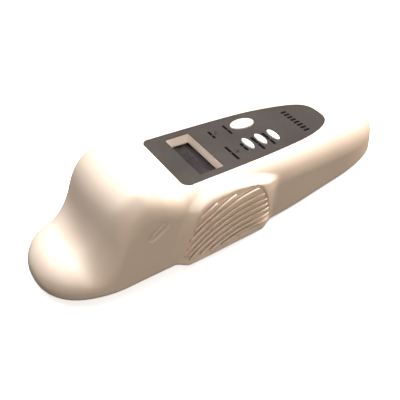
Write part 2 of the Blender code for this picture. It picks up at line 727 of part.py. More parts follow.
def make_led(name, y):
    """A round lamp that looks out through the overlay, on two legs that stand on the panel board."""
    profile = [(0, 0.2), (0.8, 0.05), (LED_RADIUS, -0.9), (LED_RADIUS, -4.6), (1.9, -4.6), (1.9, -5.5),
               (0, -5.5)]
    lamp = turned(name, profile, (LED_U, y), 14, material=LAMP, parent=PANEL)
    for side in (1, -1):
        join(lamp, box(f"{name}_leg_{side}", (LED_U + side * 0.9 - 0.3, y - 0.3, PANEL_BOARD_TOP + GAP),
                       (LED_U + side * 0.9 + 0.3, y + 0.3, -5.2), parent=PANEL, cutter=True))


def make_panel_board():
    low = (PANEL_BOARD_FRONT, -PANEL_BOARD_HALF_WIDTH, PANEL_BOARD_TOP - BOARD_THICKNESS)
    high = (PANEL_BOARD_REAR, PANEL_BOARD_HALF_WIDTH, PANEL_BOARD_TOP)
    board = box("panel_board", low, high, material=BOARD, parent=PANEL)
    for i, at in enumerate(HOUSING_SCREWS[3:5]):
        cut(board, rod(f"panel_board_notch_{i + 1}", POST_RADIUS + 0.6, 20, 50, at, 14, cutter=True))
    for i, (u, y) in enumerate(PANEL_POSTS):
        cut(board, rod(f"panel_board_hole_{i + 1}", 1.4, -30, 0, (u, y), 10, parent=PANEL, cutter=True))
        under = PANEL_BOARD_TOP - BOARD_THICKNESS - GAP
        profile = [(0, -8), (0.95, -8.4), (0.95, under), (2.1, under), (1.9, under - 1.2), (0, under - 1.4)]
        turned(f"panel_screw_{i + 1}", profile, (u, y), 10, material=STEEL, parent=PANEL)


# ---- inside the base ----

def make_housing_screws():
    head_top = COUNTERBORE_TOP_Z - GAP
    profile = [(0, SCREW_TIP_Z), (SCREW_RADIUS * 0.6, SCREW_TIP_Z - 1.2), (SCREW_RADIUS, SCREW_TIP_Z - 3),
               (SCREW_RADIUS, head_top), (SCREW_HEAD_RADIUS, head_top), (SCREW_HEAD_RADIUS, head_top - 1.3),
               (1.9, head_top - 2.1), (0, head_top - 2.3)]
    for i, (x, y) in enumerate(HOUSING_SCREWS):
        screw = turned(f"housing_screw_{i + 1}", profile, (x, y), 10, material=STEEL)
        for arm_x, arm_y in ((1.6, 0.35), (0.35, 1.6)):
            low = (x - arm_x, y - arm_y, 1)
            high = (x + arm_x, y + arm_y, 3.6)
            cut(screw, box(f"screw_{i + 1}_cross_{arm_x}", low, high, cutter=True))


def make_main_board():
    board = box("main_board", (MAIN_BOARD_FRONT, -MAIN_BOARD_HALF_WIDTH, MAIN_BOARD_Z),
                (MAIN_BOARD_REAR, MAIN_BOARD_HALF_WIDTH, MAIN_BOARD_Z + BOARD_THICKNESS), material=BOARD)
    over = MAIN_BOARD_Z + BOARD_THICKNESS + GAP
    for i, at in enumerate(BOARD_SCREWS):
        cut(board, rod(f"main_board_hole_{i + 1}", 1.6, 0, 30, at, 10, cutter=True))
        profile = [(0, over + 1.4), (1.9, over + 1.1), (2.1, over), (1.05, over), (1.05, 8), (0, 7.4)]
        turned(f"board_screw_{i + 1}", profile, at, 10, material=STEEL)
    box("microcontroller", (-26, -14, over), (26, -1, over + 3.8), 0.4, material=BLACK)
    box("crystal", (-44, -8, over), (-33, -4, over + 3.4), 0.8, material=STEEL)
    box("voltage_regulator", (20, 16, over), (30, 20.6, over + 15), 0.4, material=BLACK)
    box("antenna_connector", (-50.5, 8, over), (-44.5, 18, over + 7), 0.3, material=NATURAL)
    rod("capacitor_1", 4.0, over, over + 11, (6, 18), 16, material=SLEEVE)
    rod("capacitor_2", 4.0, over, over + 11, (-6, 24), 16, material=SLEEVE)
    buzzer = rod("buzzer", 6.2, over, over + 8.5, (-28, 18), 20, material=BLACK)
    cut(buzzer, rod("buzzer_hole", 1.2, over + 7, over + 12, (-28, 18), 10, cutter=True))


def panel_to_world(u, y, w):
    """A point of the panel's frame, in world millimetres."""
    c, s = math.cos(PANEL_TILT), math.sin(PANEL_TILT)
    return PANEL_FRONT_X + u * c + w * s, y, PANEL_FRONT_Z - u * s + w * c


def make_ribbon():
    """Flat cable between the two boards, with a socket on each."""
    over = MAIN_BOARD_Z + BOARD_THICKNESS + GAP
    under = PANEL_BOARD_TOP - BOARD_THICKNESS - GAP
    box("lower_ribbon_socket", (10, -30, over), (16, -16, over + 5), 0.2, material=NATURAL)
    box("upper_ribbon_socket", (52, -24, under - 4), (58, -10, under), 0.2, material=NATURAL, parent=PANEL)
    bottom = Vector((13, 0, over + 5 + GAP))
    x, _, z = panel_to_world(55, 0, under - 4 - GAP)
    top = Vector((x, 0, z))
    line = smooth_route([bottom, bottom + Vector((0.3, 0, 2)), bottom.lerp(top, 0.5) + Vector((3.5, 0, 0)),
                         top - Vector((0.3, 0, 2)), top])
    left, right = [], []
    for before, here, after in zip([line[0]] + line, line, line[1:] + [line[-1]]):
        along = (after - before).normalized()
        across = Vector((-along.z, 0, along.x)) * 0.45
        left.append(here + across)
        right.append(here - across)
    bm = bmesh.new()
    outline = left + list(reversed(right))
    face = bm.faces.new([bm.verts.new((p.x * MM, -22.5 * MM, p.z * MM)) for p in outline])
    made = bmesh.ops.extrude_face_region(bm, geom=[face])
    moved = [v for v in made["geom"] if isinstance(v, bmesh.types.BMVert)]
    bmesh.ops.translate(bm, vec=(0, 11 * MM, 0), verts=moved)
    bmesh.ops.recalc_face_normals(bm, faces=bm.faces)
    mesh_object("ribbon_cable", bm, material=RIBBON)


def oval(grow, count=36):
    """The antenna's oval in plan, grown all round."""
    return ellipse(COIL_CENTRE_X, 0, COIL_HALF_LENGTH + grow, COIL_HALF_WIDTH + grow, count)


def oval_ring(name, grow_out, grow_in, low_z, high_z, **place):
    ring = prism(name, oval(grow_out), low_z, high_z, **place)
    cut(ring, prism(name + "_hollow", oval(grow_in), low_z - 3, high_z + 3, cutter=True))
    return ring


def make_antenna():
    """Oval bobbin in the nose, with the copper winding between its flanges, and two leads to the board."""
    top_z = COIL_BOTTOM_Z + COIL_HEIGHT
    former = oval_ring("antenna_former", 4.5, -3.0, COIL_BOTTOM_Z, top_z, material=NATURAL)
    low, high = COIL_BOTTOM_Z + 1.5, top_z - 1.5
    cut(former, oval_ring("winding_groove", 9.0, -1.2, low, high, cutter=True))
    oval_ring("antenna_coil", 3.6, -0.9, low + GAP, high - GAP, material=COPPER)
    start_x = COIL_CENTRE_X + COIL_HALF_LENGTH + 4.5
    for name, y, z in (("antenna_lead_1", 11.0, 10.0), ("antenna_lead_2", 15.0, 12.4)):
        start_y = y - 10.5
        route = [(start_x, start_y, z), (start_x + 4, start_y + 1, z + 1.0), (-62, y - 4, z + 4.0),
                 (-56, y, 18.4), (-51.4, y, 18.4)]
        tube(name, route, 0.7, material=SLEEVE)


def make_battery():
    """Nine-volt block in the handle, its snap-on cap and leads. The door under it closes the bay."""
    rear = BATTERY_FRONT_X + BATTERY_LENGTH
    mid_z = BATTERY_BOTTOM_Z + BATTERY_HEIGHT / 2
    half = BATTERY_WIDTH / 2
    battery = box("battery", (BATTERY_FRONT_X, -half, BATTERY_BOTTOM_Z),
                  (rear, half, BATTERY_BOTTOM_Z + BATTERY_HEIGHT), 1.2, material=CELL)
    for side, radius in ((1, 2.8), (-1, 3.6)):
        stud = rod(f"battery_stud_{side}", radius, -1.2, 2.4, (0, 0), 14, cutter=True)
        stud.rotation_euler = (0, -math.pi / 2, 0)
        stud.location = ((BATTERY_FRONT_X - 0.6) * MM, side * 6.35 * MM, mid_z * MM)
        join(battery, stud)
    cap_rear = BATTERY_FRONT_X - 2.4 - GAP
    box("battery_cap", (cap_rear - 3.6, -half + 0.5, BATTERY_BOTTOM_Z + 2.6),
        (cap_rear, half - 0.5, BATTERY_BOTTOM_Z + BATTERY_HEIGHT - 2.6), 0.6, material=BLACK)
    start = cap_rear - 3.6 - GAP
    board_top = MAIN_BOARD_Z + BOARD_THICKNESS + GAP
    for name, side, material in (("battery_lead_red", 1, RED), ("battery_lead_black", -1, BLACK)):
        route = [(start, 2 * side, 11.5), (start - 4, 2 * side, 12.0), (54, 2 * side, 15.0),
                 (46, 2 * side, 19.0), (38, 3 * side, 18.5), (35, 3.5 * side, board_top + 0.2)]
        tube(name, route, 0.8, material=material)


clear_scene()
SCANNER = make_collection("microchip_scanner")
CUTTERS = make_collection("cutters", hidden=True)
IVORY = make_material("ivory_plastic", (0.80, 0.72, 0.62), 0.38)
WHITE = make_material("white_key", (0.88, 0.86, 0.82), 0.35)
GRAPHITE = make_material("graphite_label", (0.13, 0.12, 0.12), 0.45)
CLEAR = make_material("clear_window", (0.9, 0.9, 0.9), 0.05, alpha=0.35)
DISPLAY = make_material("display_glass", (0.04, 0.035, 0.045), 0.15)
STEEL = make_material("steel", (0.6, 0.6, 0.6), 0.3, 1.0)
BLACK = make_material("black_plastic", (0.03, 0.03, 0.03), 0.5)
NATURAL = make_material("natural_plastic", (0.75, 0.72, 0.62), 0.5)
BOARD = make_material("board_green", (0.03, 0.18, 0.08), 0.4)
COPPER = make_material("copper_wire", (0.72, 0.33, 0.12), 0.35, 1.0)
SLEEVE = make_material("blue_sleeve", (0.05, 0.08, 0.25), 0.4)
RIBBON = make_material("grey_ribbon", (0.45, 0.45, 0.47), 0.5)
LAMP = make_material("dark_lamp", (0.06, 0.03, 0.02), 0.2)
CELL = make_material("battery_wrap", (0.10, 0.10, 0.11), 0.35)
RED = make_material("red_sleeve", (0.5, 0.03, 0.02), 0.45)

ROOT = make_empty("scanner_root", None, (-(NOSE_TIP_X + TAIL_TIP_X) / 2, 0, 0))
PANEL = make_empty("panel_frame", ROOT, (PANEL_FRONT_X, 0, PANEL_FRONT_Z))
PANEL.rotation_euler = (0, PANEL_TILT, 0)
bpy.context.view_layer.update()

make_upper_housing()
make_base_cover()
make_battery_door()
make_overlay()
make_display()
for key in KEYS:
    make_key(*key)
make_led("scan_lamp", LED_Y)
make_led("battery_lamp", -LED_Y)
make_panel_board()
make_housing_screws()
make_main_board()
make_ribbon()
make_antenna()
make_battery()
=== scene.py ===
"""Studio look for the hand-held microchip scanner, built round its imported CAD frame.

Lengths are in millimetres and multiplied by MM when they reach Blender. Positions along X are
stations measured as in the CAD, whose nose tip is at NOSE_TIP_X; STATION_SHIFT turns them into the
frame's coordinates. Everything on the sloping control panel is placed in the panel's own frame:
u runs from the panel's front edge towards the handle, y across, and w along the panel's normal.

The moulded shells repeat the CAD's form function at a fine pitch, with the grip's ribbed recess and
the oval dimple added. The other pieces are made to the size of the CAD node that they stand for.
"""

import json
import math

import bmesh
import bpy
import numpy as np
from mathutils import Matrix, Quaternion, Vector


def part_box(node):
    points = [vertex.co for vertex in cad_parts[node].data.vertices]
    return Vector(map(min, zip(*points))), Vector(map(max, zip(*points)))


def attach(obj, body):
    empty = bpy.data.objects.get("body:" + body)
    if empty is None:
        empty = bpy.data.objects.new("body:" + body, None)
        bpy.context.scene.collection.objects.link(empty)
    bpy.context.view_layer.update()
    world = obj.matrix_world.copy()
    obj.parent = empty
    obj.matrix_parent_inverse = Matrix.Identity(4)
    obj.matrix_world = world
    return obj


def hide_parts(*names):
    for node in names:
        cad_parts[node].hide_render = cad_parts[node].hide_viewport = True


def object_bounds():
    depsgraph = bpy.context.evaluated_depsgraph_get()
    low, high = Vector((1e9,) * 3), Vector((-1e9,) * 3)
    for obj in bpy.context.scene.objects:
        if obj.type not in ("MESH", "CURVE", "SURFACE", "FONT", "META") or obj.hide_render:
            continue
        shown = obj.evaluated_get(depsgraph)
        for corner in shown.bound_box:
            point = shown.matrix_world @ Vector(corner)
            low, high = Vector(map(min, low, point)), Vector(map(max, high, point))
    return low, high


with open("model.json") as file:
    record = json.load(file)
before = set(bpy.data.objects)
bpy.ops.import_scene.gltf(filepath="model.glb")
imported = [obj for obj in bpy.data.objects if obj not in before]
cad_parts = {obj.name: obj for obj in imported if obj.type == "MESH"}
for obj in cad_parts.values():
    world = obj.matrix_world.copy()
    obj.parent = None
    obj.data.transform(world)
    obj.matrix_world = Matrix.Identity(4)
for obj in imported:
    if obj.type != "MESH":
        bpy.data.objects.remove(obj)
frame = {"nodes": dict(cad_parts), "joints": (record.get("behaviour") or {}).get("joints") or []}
CAD_LOW, CAD_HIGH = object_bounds()

MM = 0.001

# ---- the outer form, in millimetres ----
NOSE_TIP_X = -133.5
TAIL_TIP_X = 150.5
NOSE_CENTRE_X = -84.0
TAIL_CENTRE_X = 94.0
NOSE_POWER = 2.25
TAIL_POWER = 2.25
NOSE_SPINE_X = -108.0
TAIL_SPINE_X = 118.0
NOSE_HALF_WIDTH = 41.0
WAIST_HALF_WIDTH = 42.5
TAIL_HALF_WIDTH = 34.6
WAIST_X = -20.0
TAIL_TAPER = (27.0, 125.0)
WALL = 2.5
PARTING_Z = 3.0
PARTING_GAP = 0.12
STATION_SHIFT = CAD_LOW.x / MM - NOSE_TIP_X

PANEL_FRONT_X = -29.8
PANEL_FRONT_Z = 53.8
PANEL_LENGTH = 135.0
PANEL_HALF_WIDTH = 30.7
PANEL_CORNER = 6.0

TOP_KNOTS = [(-133.5, 23.2), (-124.0, 24.2), (-115.5, 23.8), (-108.0, 23.6), (-101.9, 26.2), (-96.3, 31.3),
             (-91.3, 38.8), (-87.4, 47.0), (-82.7, 54.9), (-76.2, 61.3), (-66.3, 65.4), (-59.2, 66.0),
             (-50.8, 63.5), (-43.0, 59.0), (-35.0, 54.9)]
CROWN_Z = CAD_HIGH.z / MM    # the CAD's coarser rings pass just under the hump's crown
HUMP_WRAP = 0.0028          # how fast the hump's front falls back towards its sides, in 1/mm
HUMP_WRAP_ENDS = (-75, -55)
NOSE_EDGE = (26.0, 14.2)
HUMP_EDGE = (15.0, 19.0)
PANEL_EDGE = (13.0, 17.5)
TAIL_EDGE = (25.0, 21.5)
NOSE_TO_HUMP = (-108, -80)
HUMP_TO_PANEL = (-62, -30)
NOSE_BASE_EDGE = 8.0
BASE_EDGE = 5.0
NOSE_BASE_ENDS = (-112, -80)
GRIP_SWELL = 5.3
SWELL_FRONT_X = -49
SWELL_FRONT_BOW = 0.0062
SWELL_LEDGE_Z = 51.4
SWELL_LEDGE_BOW = 0.0040
SWELL_LEDGE_STRAIGHT_TO_X = -19
SWELL_FRONT_FADE = 9.0
SWELL_LEDGE_FADE = 4.5
SWELL_CORNER = 2.0
SWELL_REAR_STARTS = (17, 0.10)  # station at the base, and how far it moves back for each mm of height
SWELL_REAR_ENDS = (30, 0.25)
MOST_INSET = 0.92           # a rounded edge takes at most this share of the way to the spine
RELIEF_STARTS = 1           # relief is only on the sides, this far from the middle plane or more

# ---- the shells' mesh ----
END_STEPS = 26              # stations round the nose, and as many round the tail
GRIP_STATIONS = (-69, 36)
GRIP_PITCH = 0.6
BODY_PITCH = 1.8
TOP_STEPS = 10
TOP_EDGE_STEPS = 38
WALL_STEPS = 56
BASE_EDGE_STEPS = 7
INNER_EDGE_STEPS = 6

# ---- the grip's recess and ribs, and the oval dimple ----
RECESS_DEPTH = 2.0
RECESS_STEP = 0.9           # width of the step at the recess's top and rear
RECESS_CORNER = 3.0
RECESS_TOP_X = -12
RECESS_TOP_Z = 45.3
RECESS_TOP_BOW = (0.0114, 0.0040)   # ahead of RECESS_TOP_X, and behind it
RECESS_REAR_X = 26.3
RECESS_REAR_Z = 7
RECESS_REAR_BOW = 0.006
RECESS_FRONT_X = -46
RECESS_FRONT_BOW = 0.0098
RECESS_FRONT_FADE = (-3, 6)
RECESS_FOOT_FADE = (1.5, 6.5)
RECESS_FOOT_RISE = 10       # the foot's fade reaches this much higher at the rear
RECESS_FOOT_RISE_ENDS = (5, 25)
# Each rib's front and rear end, as (station, height).
RIBS = [((-30, 38.5), (-15.5, 43.4)), ((-34.5, 30.5), (-0.5, 42.6)), ((-38.5, 23.5), (17, 39.2)),
        ((-41, 16), (20.8, 33.6)), ((-43, 9.5), (22.3, 28.4)), ((-40.5, 7), (23.4, 23.3)),
        ((-32.5, 7), (24.3, 18.4)), ((-25, 6.5), (25.1, 13)), ((-15.5, 6.8), (25.6, 8.2)),
        ((-2, 7), (17, 6.8))]
RIB_BOW_RADIUS = 84.0
RIB_RADIUS = 0.95
RIB_SINK = 0.45             # how far a rib's centre line lies under the swelling's surface
RIB_PITCH = 1.2
RIB_SIDES = 16
RIB_END_STEPS = 4
RIB_TIP_RADIUS = 0.01
DIMPLE_ENDS = ((-61.4, 35.5), (-52.6, 40.6))
DIMPLE_RADIUS = 4.0
DIMPLE_RIM = 2.0
DIMPLE_DEPTH = 0.6
PILL_RISE = 1.0             # the plain raised pill inside the dimple lies this far above its middle
PILL_RADIUS = 1.8
PILL_RIM = 1.1
PILL_HEIGHT = 0.45

PANEL_NORMAL = -Vector(next(j["axis"] for j in frame["joints"] if j["name"] == "scan_key_press")).normalized()
PANEL_SLOPE = PANEL_NORMAL.x / PANEL_NORMAL.z


def panel_matrix():
    """The panel's frame: its origin is the middle of the panel's front edge."""
    along = Vector((PANEL_NORMAL.z, 0, -PANEL_NORMAL.x))
    turn = Matrix((along, (0, 1, 0), PANEL_NORMAL)).transposed().to_4x4()
    front = Vector((PANEL_FRONT_X + STATION_SHIFT, 0, PANEL_FRONT_Z)) * MM
    return Matrix.Translation(front) @ turn


PANEL = panel_matrix()


# ---- the form, for arrays of stations and heights ----

def ease(low, high, x):
    """0 below low, 1 above high, and a smooth step between them."""
    t = np.clip((x - low) / (high - low), 0, 1)
    return t * t * (3 - 2 * t)


def panel_plane(x):
    return PANEL_FRONT_Z - PANEL_SLOPE * (x - PANEL_FRONT_X)


def top_along(x):
    """Top height on the centre line: a cubic through the knots, then the panel's plane."""
    first_x, first_z = TOP_KNOTS[0]
    last_x = TOP_KNOTS[-1][0]
    knots = [(first_x - 10, first_z)] + TOP_KNOTS
    knots += [(last_x + step, panel_plane(last_x + step)) for step in (7, 14)]
    kx, kz = np.array(knots).T
    i = np.clip(np.searchsorted(kx, x) - 1, 1, len(kx) - 3)
    xa, xb, xc, xd = kx[i - 1], kx[i], kx[i + 1], kx[i + 2]
    za, zb, zc, zd = kz[i - 1], kz[i], kz[i + 1], kz[i + 2]
    t = np.clip((x - xb) / (xc - xb), 0, 1)
    slope_b = (zc - za) / (xc - xa) * (xc - xb)
    slope_c = (zd - zb) / (xd - xb) * (xc - xb)
    cubic = ((2 * t ** 3 - 3 * t * t + 1) * zb + (t ** 3 - 2 * t * t + t) * slope_b
             + (3 * t * t - 2 * t ** 3) * zc + (t ** 3 - t * t) * slope_c)
    cubic = np.minimum(np.where(x <= first_x, first_z, cubic), CROWN_Z)
    return np.where(x >= kx[-2], panel_plane(x), cubic)


def top_height(x, y):
    """Top height at (x, y). The hump's front wall wraps round towards the sides."""
    on_front = 1 - ease(*HUMP_WRAP_ENDS, x)
    return top_along(x - HUMP_WRAP * y * y * on_front)


def half_width(x):
    """Half the plan's width at a station, without the grips."""
    middle = (NOSE_HALF_WIDTH + (WAIST_HALF_WIDTH - NOSE_HALF_WIDTH) * ease(NOSE_CENTRE_X, WAIST_X, x)
              - (WAIST_HALF_WIDTH - TAIL_HALF_WIDTH) * ease(*TAIL_TAPER, x))
    nose = np.clip((NOSE_CENTRE_X - x) / (NOSE_CENTRE_X - NOSE_TIP_X), 0, 1)
    tail = np.clip((x - TAIL_CENTRE_X) / (TAIL_TIP_X - TAIL_CENTRE_X), 0, 1)
    nose_share = (1 - nose ** NOSE_POWER) ** (1 / NOSE_POWER)
    tail_share = (1 - tail ** TAIL_POWER) ** (1 / TAIL_POWER)
    return middle * nose_share * tail_share


def edge_rounding(x):
    """(across, down): how far the top's rounded edge reaches in from the side, and down from the top."""
    sizes = []
    for nose, hump, panel, tail in zip(NOSE_EDGE, HUMP_EDGE, PANEL_EDGE, TAIL_EDGE):
        size = nose + (hump - nose) * ease(*NOSE_TO_HUMP, x)
        size = size + (panel - size) * ease(*HUMP_TO_PANEL, x)
        sizes.append(size + (tail - size) * ease(*TAIL_TAPER, x))
    return sizes


def base_rounding(x):
    return NOSE_BASE_EDGE + (BASE_EDGE - NOSE_BASE_EDGE) * ease(*NOSE_BASE_ENDS, x)


def grip_swell(x, z):
    """How far the side grip's swelling stands out of the side: it fades at its front, top and rear."""
    from_front = (x - SWELL_FRONT_X - SWELL_FRONT_BOW * z * z) / SWELL_FRONT_FADE
    ledge_z = SWELL_LEDGE_Z - SWELL_LEDGE_BOW * np.maximum(0, x - SWELL_LEDGE_STRAIGHT_TO_X) ** 2
    from_ledge = (ledge_z - z) / SWELL_LEDGE_FADE
    corner = np.hypot(np.maximum(SWELL_CORNER - from_front, 0), np.maximum(SWELL_CORNER - from_ledge, 0))
    starts, ends = (station + lean * z for station, lean in (SWELL_REAR_STARTS, SWELL_REAR_ENDS))
    rear = 1 - ease(starts, ends, x)
    return GRIP_SWELL * ease(0, 1, SWELL_CORNER - corner) * rear


def grip_recess(x, z):
    """Depth of the ribbed recess: a rounded step at its top and rear, fading out at its front and foot."""
    bow = np.where(x < RECESS_TOP_X, *RECESS_TOP_BOW)
    from_top = RECESS_TOP_Z - bow * (x - RECESS_TOP_X) ** 2 - z
    from_rear = RECESS_REAR_X - RECESS_REAR_BOW * (z - RECESS_REAR_Z) ** 2 - x
    corner = np.hypot(np.maximum(RECESS_CORNER - from_top, 0), np.maximum(RECESS_CORNER - from_rear, 0))
    step = ease(0, RECESS_STEP, RECESS_CORNER - corner)
    front = ease(*RECESS_FRONT_FADE, x - RECESS_FRONT_X - RECESS_FRONT_BOW * z * z)
    foot_low, foot_high = RECESS_FOOT_FADE
    foot = ease(foot_low, foot_high + RECESS_FOOT_RISE * ease(*RECESS_FOOT_RISE_ENDS, x), z)
    return RECESS_DEPTH * step * front * foot


def slot_distance(x, z, ends):
    """Distance from the line between two (x, z) ends."""
    (x0, z0), (x1, z1) = ends
    along_x, along_z = x1 - x0, z1 - z0
    share = np.clip(((x - x0) * along_x + (z - z0) * along_z) / (along_x ** 2 + along_z ** 2), 0, 1)
    return np.hypot(x - x0 - share * along_x, z - z0 - share * along_z)


def dimple(x, z):
    """Depth of the plain oval dimple in the side of the hump, less the raised pill inside it."""
    bowl = 1 - ease(DIMPLE_RADIUS - DIMPLE_RIM, DIMPLE_RADIUS, slot_distance(x, z, DIMPLE_ENDS))
    pill = 1 - ease(PILL_RADIUS - PILL_RIM, PILL_RADIUS, slot_distance(x, z - PILL_RISE, DIMPLE_ENDS))
    return DIMPLE_DEPTH * bowl - PILL_HEIGHT * pill


def inset(x, y, distance):
    """Outline points moved in towards the spine, and how far they are from it."""
    spine = np.clip(x, NOSE_SPINE_X, TAIL_SPINE_X)
    reach = np.hypot(x - spine, y)
    share = np.minimum(1, distance / reach)
    return x + (spine - x) * share, y * (1 - share), reach


def ring(x, y, z, relief=True):
    """One ring of the shell's surface, in the frame's metres."""
    if relief:
        out = grip_swell(x, z) - grip_recess(x, z) - dimple(x, z)
        y = y + np.sign(y) * out * (np.abs(y) > RELIEF_STARTS)
    return np.stack([x + STATION_SHIFT, y, z], axis=1) * MM


def spaced(start, stop, step):
    """Even stations about one step apart, both ends included."""
    return list(np.linspace(start, stop, max(2, round(abs(stop - start) / step) + 1)))


def end_stations(tip_x, spine_x):
    """Stations from a rounded end's tip towards the spine, closest together at the tip."""
    turns = [math.pi / 2 * i / END_STEPS for i in range(END_STEPS)]
    return [spine_x + (tip_x - spine_x) * math.cos(turn) for turn in turns]


def outline():
    """The plan outline, from the nose tip along +Y to the tail tip and back along -Y."""
    grip_front, grip_rear = GRIP_STATIONS
    xs = end_stations(NOSE_TIP_X, NOSE_SPINE_X)
    xs += spaced(NOSE_SPINE_X, grip_front, BODY_PITCH)
    xs += spaced(grip_front, grip_rear, GRIP_PITCH)[1:]
    xs += spaced(grip_rear, TAIL_SPINE_X, BODY_PITCH)[1:]
    xs += reversed(end_stations(TAIL_TIP_X, TAIL_SPINE_X))
    xs = np.array(xs)
    ys = half_width(xs)
    return np.concatenate([xs, xs[-2:0:-1]]), np.concatenate([ys, -ys[-2:0:-1]])


def top_rings(x, y):
    """Rings from the spine out over the top and down its rounded edge."""
    across, down = edge_rounding(x)
    reach = inset(x, y, 0)[2]
    across = np.minimum(across, reach * MOST_INSET)
    rings = []
    for step in range(TOP_STEPS):
        share = 1 - step / TOP_STEPS
        px, py, _ = inset(x, y, across + (reach - across) * share)
        rings.append(ring(px, py, top_height(px, py), relief=False))
    for step in range(TOP_EDGE_STEPS + 1):
        angle = math.pi / 2 * (1 - step / TOP_EDGE_STEPS)
        px, py, _ = inset(x, y, across * (1 - math.cos(angle)))
        rings.append(ring(px, py, top_height(px, py) - down * (1 - math.sin(angle))))
    return rings


def wall_rings(x, y):
    """Rings down the side wall, under its rounded top edge, to where the base's edge starts."""
    high = top_height(x, y) - edge_rounding(x)[1]
    low = base_rounding(x)
    return [ring(x, y, high + (low - high) * step / WALL_STEPS) for step in range(1, WALL_STEPS + 1)]


def base_ring(x, y, angle, shrink=0.0):
    """(x, y, z) round the rounded base edge: 0 degrees is the wall, 90 the flat base."""
    reach = inset(x, y, 0)[2]
    radius = np.minimum(base_rounding(x), reach * MOST_INSET)
    turn = np.radians(angle)
    px, py, _ = inset(x, y, radius * (1 - np.cos(turn)) + shrink)
    return px, py, base_rounding(x) * (1 - np.sin(turn))


def angle_at_height(x, z):
    """Where on the rounded base edge the surface is at height z, in degrees."""
    return np.degrees(np.arcsin(1 - z / base_rounding(x)))


# ---- building blocks ----

SAME_POINT = 2e-7           # metres
SHORTEST_EDGE = 1e-8        # metres
AXIS_RADIUS = 1e-5          # a turned profile's end on its axis, in millimetres, is joined to one point


def new_object(name, data):
    thing = bpy.data.objects.new(name, data)
    bpy.context.scene.collection.objects.link(thing)
    return thing


def from_rings(name, rings, matrix=None, caps=False):
    """A surface through closed rings of equal length. Points that coincide are made one."""
    count = len(rings[0])
    points = np.concatenate([np.asarray(r, float) for r in rings])
    faces = []
    for row in range(len(rings) - 1):
        a = row * count
        for i in range(count):
            j = (i + 1) % count
            faces.append((a + i, a + j, a + count + j, a + count + i))
    if caps:
        faces.append(tuple(range(count)))
        faces.append(tuple(range((len(rings) - 1) * count, len(rings) * count)))
    mesh = bpy.data.meshes.new(name)
    mesh.from_pydata(points.tolist(), [], faces)
    bm = bmesh.new()
    bm.from_mesh(mesh)
    bmesh.ops.remove_doubles(bm, verts=bm.verts, dist=SAME_POINT)
    bmesh.ops.dissolve_degenerate(bm, edges=bm.edges, dist=SHORTEST_EDGE)
    bmesh.ops.recalc_face_normals(bm, faces=bm.faces)
    if bm.calc_volume(signed=True) < 0:
        bmesh.ops.reverse_faces(bm, faces=bm.faces)
    bm.to_mesh(mesh)
    bm.free()
    if matrix:
        mesh.transform(matrix)
    return new_object(name, mesh)


def box(name, low, high, matrix=None):
    """A box between two corners given in millimetres."""
    bm = bmesh.new()
    bmesh.ops.create_cube(bm, size=1)
    size = [(b - a) * MM for a, b in zip(low, high)]
    middle = [(a + b) / 2 * MM for a, b in zip(low, high)]
    bmesh.ops.scale(bm, vec=size, verts=bm.verts)
    bmesh.ops.translate(bm, vec=middle, verts=bm.verts)
    mesh = bpy.data.meshes.new(name)
    bm.to_mesh(mesh)
    bm.free()
    if matrix:
        mesh.transform(matrix)
    return new_object(name, mesh)


def ellipse_ring(u, y, a, b, w, count=72):
    """A ring round (u, y) at height w, with half axes a and b."""
    turn = np.arange(count) * 2 * math.pi / count
    return np.stack([u + a * np.cos(turn), y + b * np.sin(turn), np.full(count, w)], axis=1) * MM


def turned(name, profile, u, y, matrix=None, count=48):
    """A turned piece about the upright axis at (u, y). Its profile is (radius, height), top to bottom."""
    rings = []
    for radius, w in profile:
        radius = max(radius, AXIS_RADIUS)
        rings.append(ellipse_ring(u, y, radius, radius, w, count))
    return from_rings(name, rings, matrix)


def merged(name, things):
    """Several pieces that don't touch, made one object."""
    bm = bmesh.new()
    for thing in things:
        bm.from_mesh(thing.data)
    mesh = bpy.data.meshes.new(name)
    bm.to_mesh(mesh)
    bm.free()
    for thing in things:
        bpy.data.objects.remove(thing)
    return new_object(name, mesh)


def boolean(thing, other, operation):
    """Adds an exact Boolean with another object, for settle to apply."""
    modifier = thing.modifiers.new(operation.lower(), "BOOLEAN")
    modifier.operation = operation
    modifier.solver = "EXACT"
    modifier.object = other
    other.hide_render = True


def settle(thing, angle=32, helpers=()):
    """Applies the modifiers, removes the helpers, and shades smooth apart from edges sharper than angle."""
    graph = bpy.context.evaluated_depsgraph_get()
    mesh = bpy.data.meshes.new_from_object(thing.evaluated_get(graph))
    thing.modifiers.clear()
    thing.data = mesh
    mesh.name = thing.name
    mesh.shade_smooth()
    mesh.set_sharp_from_angle(angle=math.radians(angle))
    for helper in helpers:
        bpy.data.objects.remove(helper)
    return thing


def dress(thing, material, body, slot, *stands_for):
    """Gives a new piece its finish and its body, and hides the CAD nodes that it stands for."""
    thing.data.materials.clear()
    thing.data.materials.append(material)
    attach(thing, body)
    if stands_for:
        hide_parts(*stands_for)
    return thing


def panel_bounds(node):
    """Lowest and highest corner of a CAD node in the panel's frame, in millimetres."""
    to_panel = PANEL.inverted()
    points = [to_panel @ v.co / MM for v in frame["nodes"][node].data.vertices]
    return [tuple(f(p[i] for p in points) for i in range(3)) for f in (min, max)]


def node_bounds(node):
    """Lowest and highest corner of a CAD node, in millimetres."""
    low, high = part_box(node)
    return tuple(low / MM), tuple(high / MM)


# ---- materials ----

FLAT_COSINE = 0.995         # cosine of the angle between the rounded and the flat normal, away from edges
EDGE_COSINE = 0.93          # and right at an edge


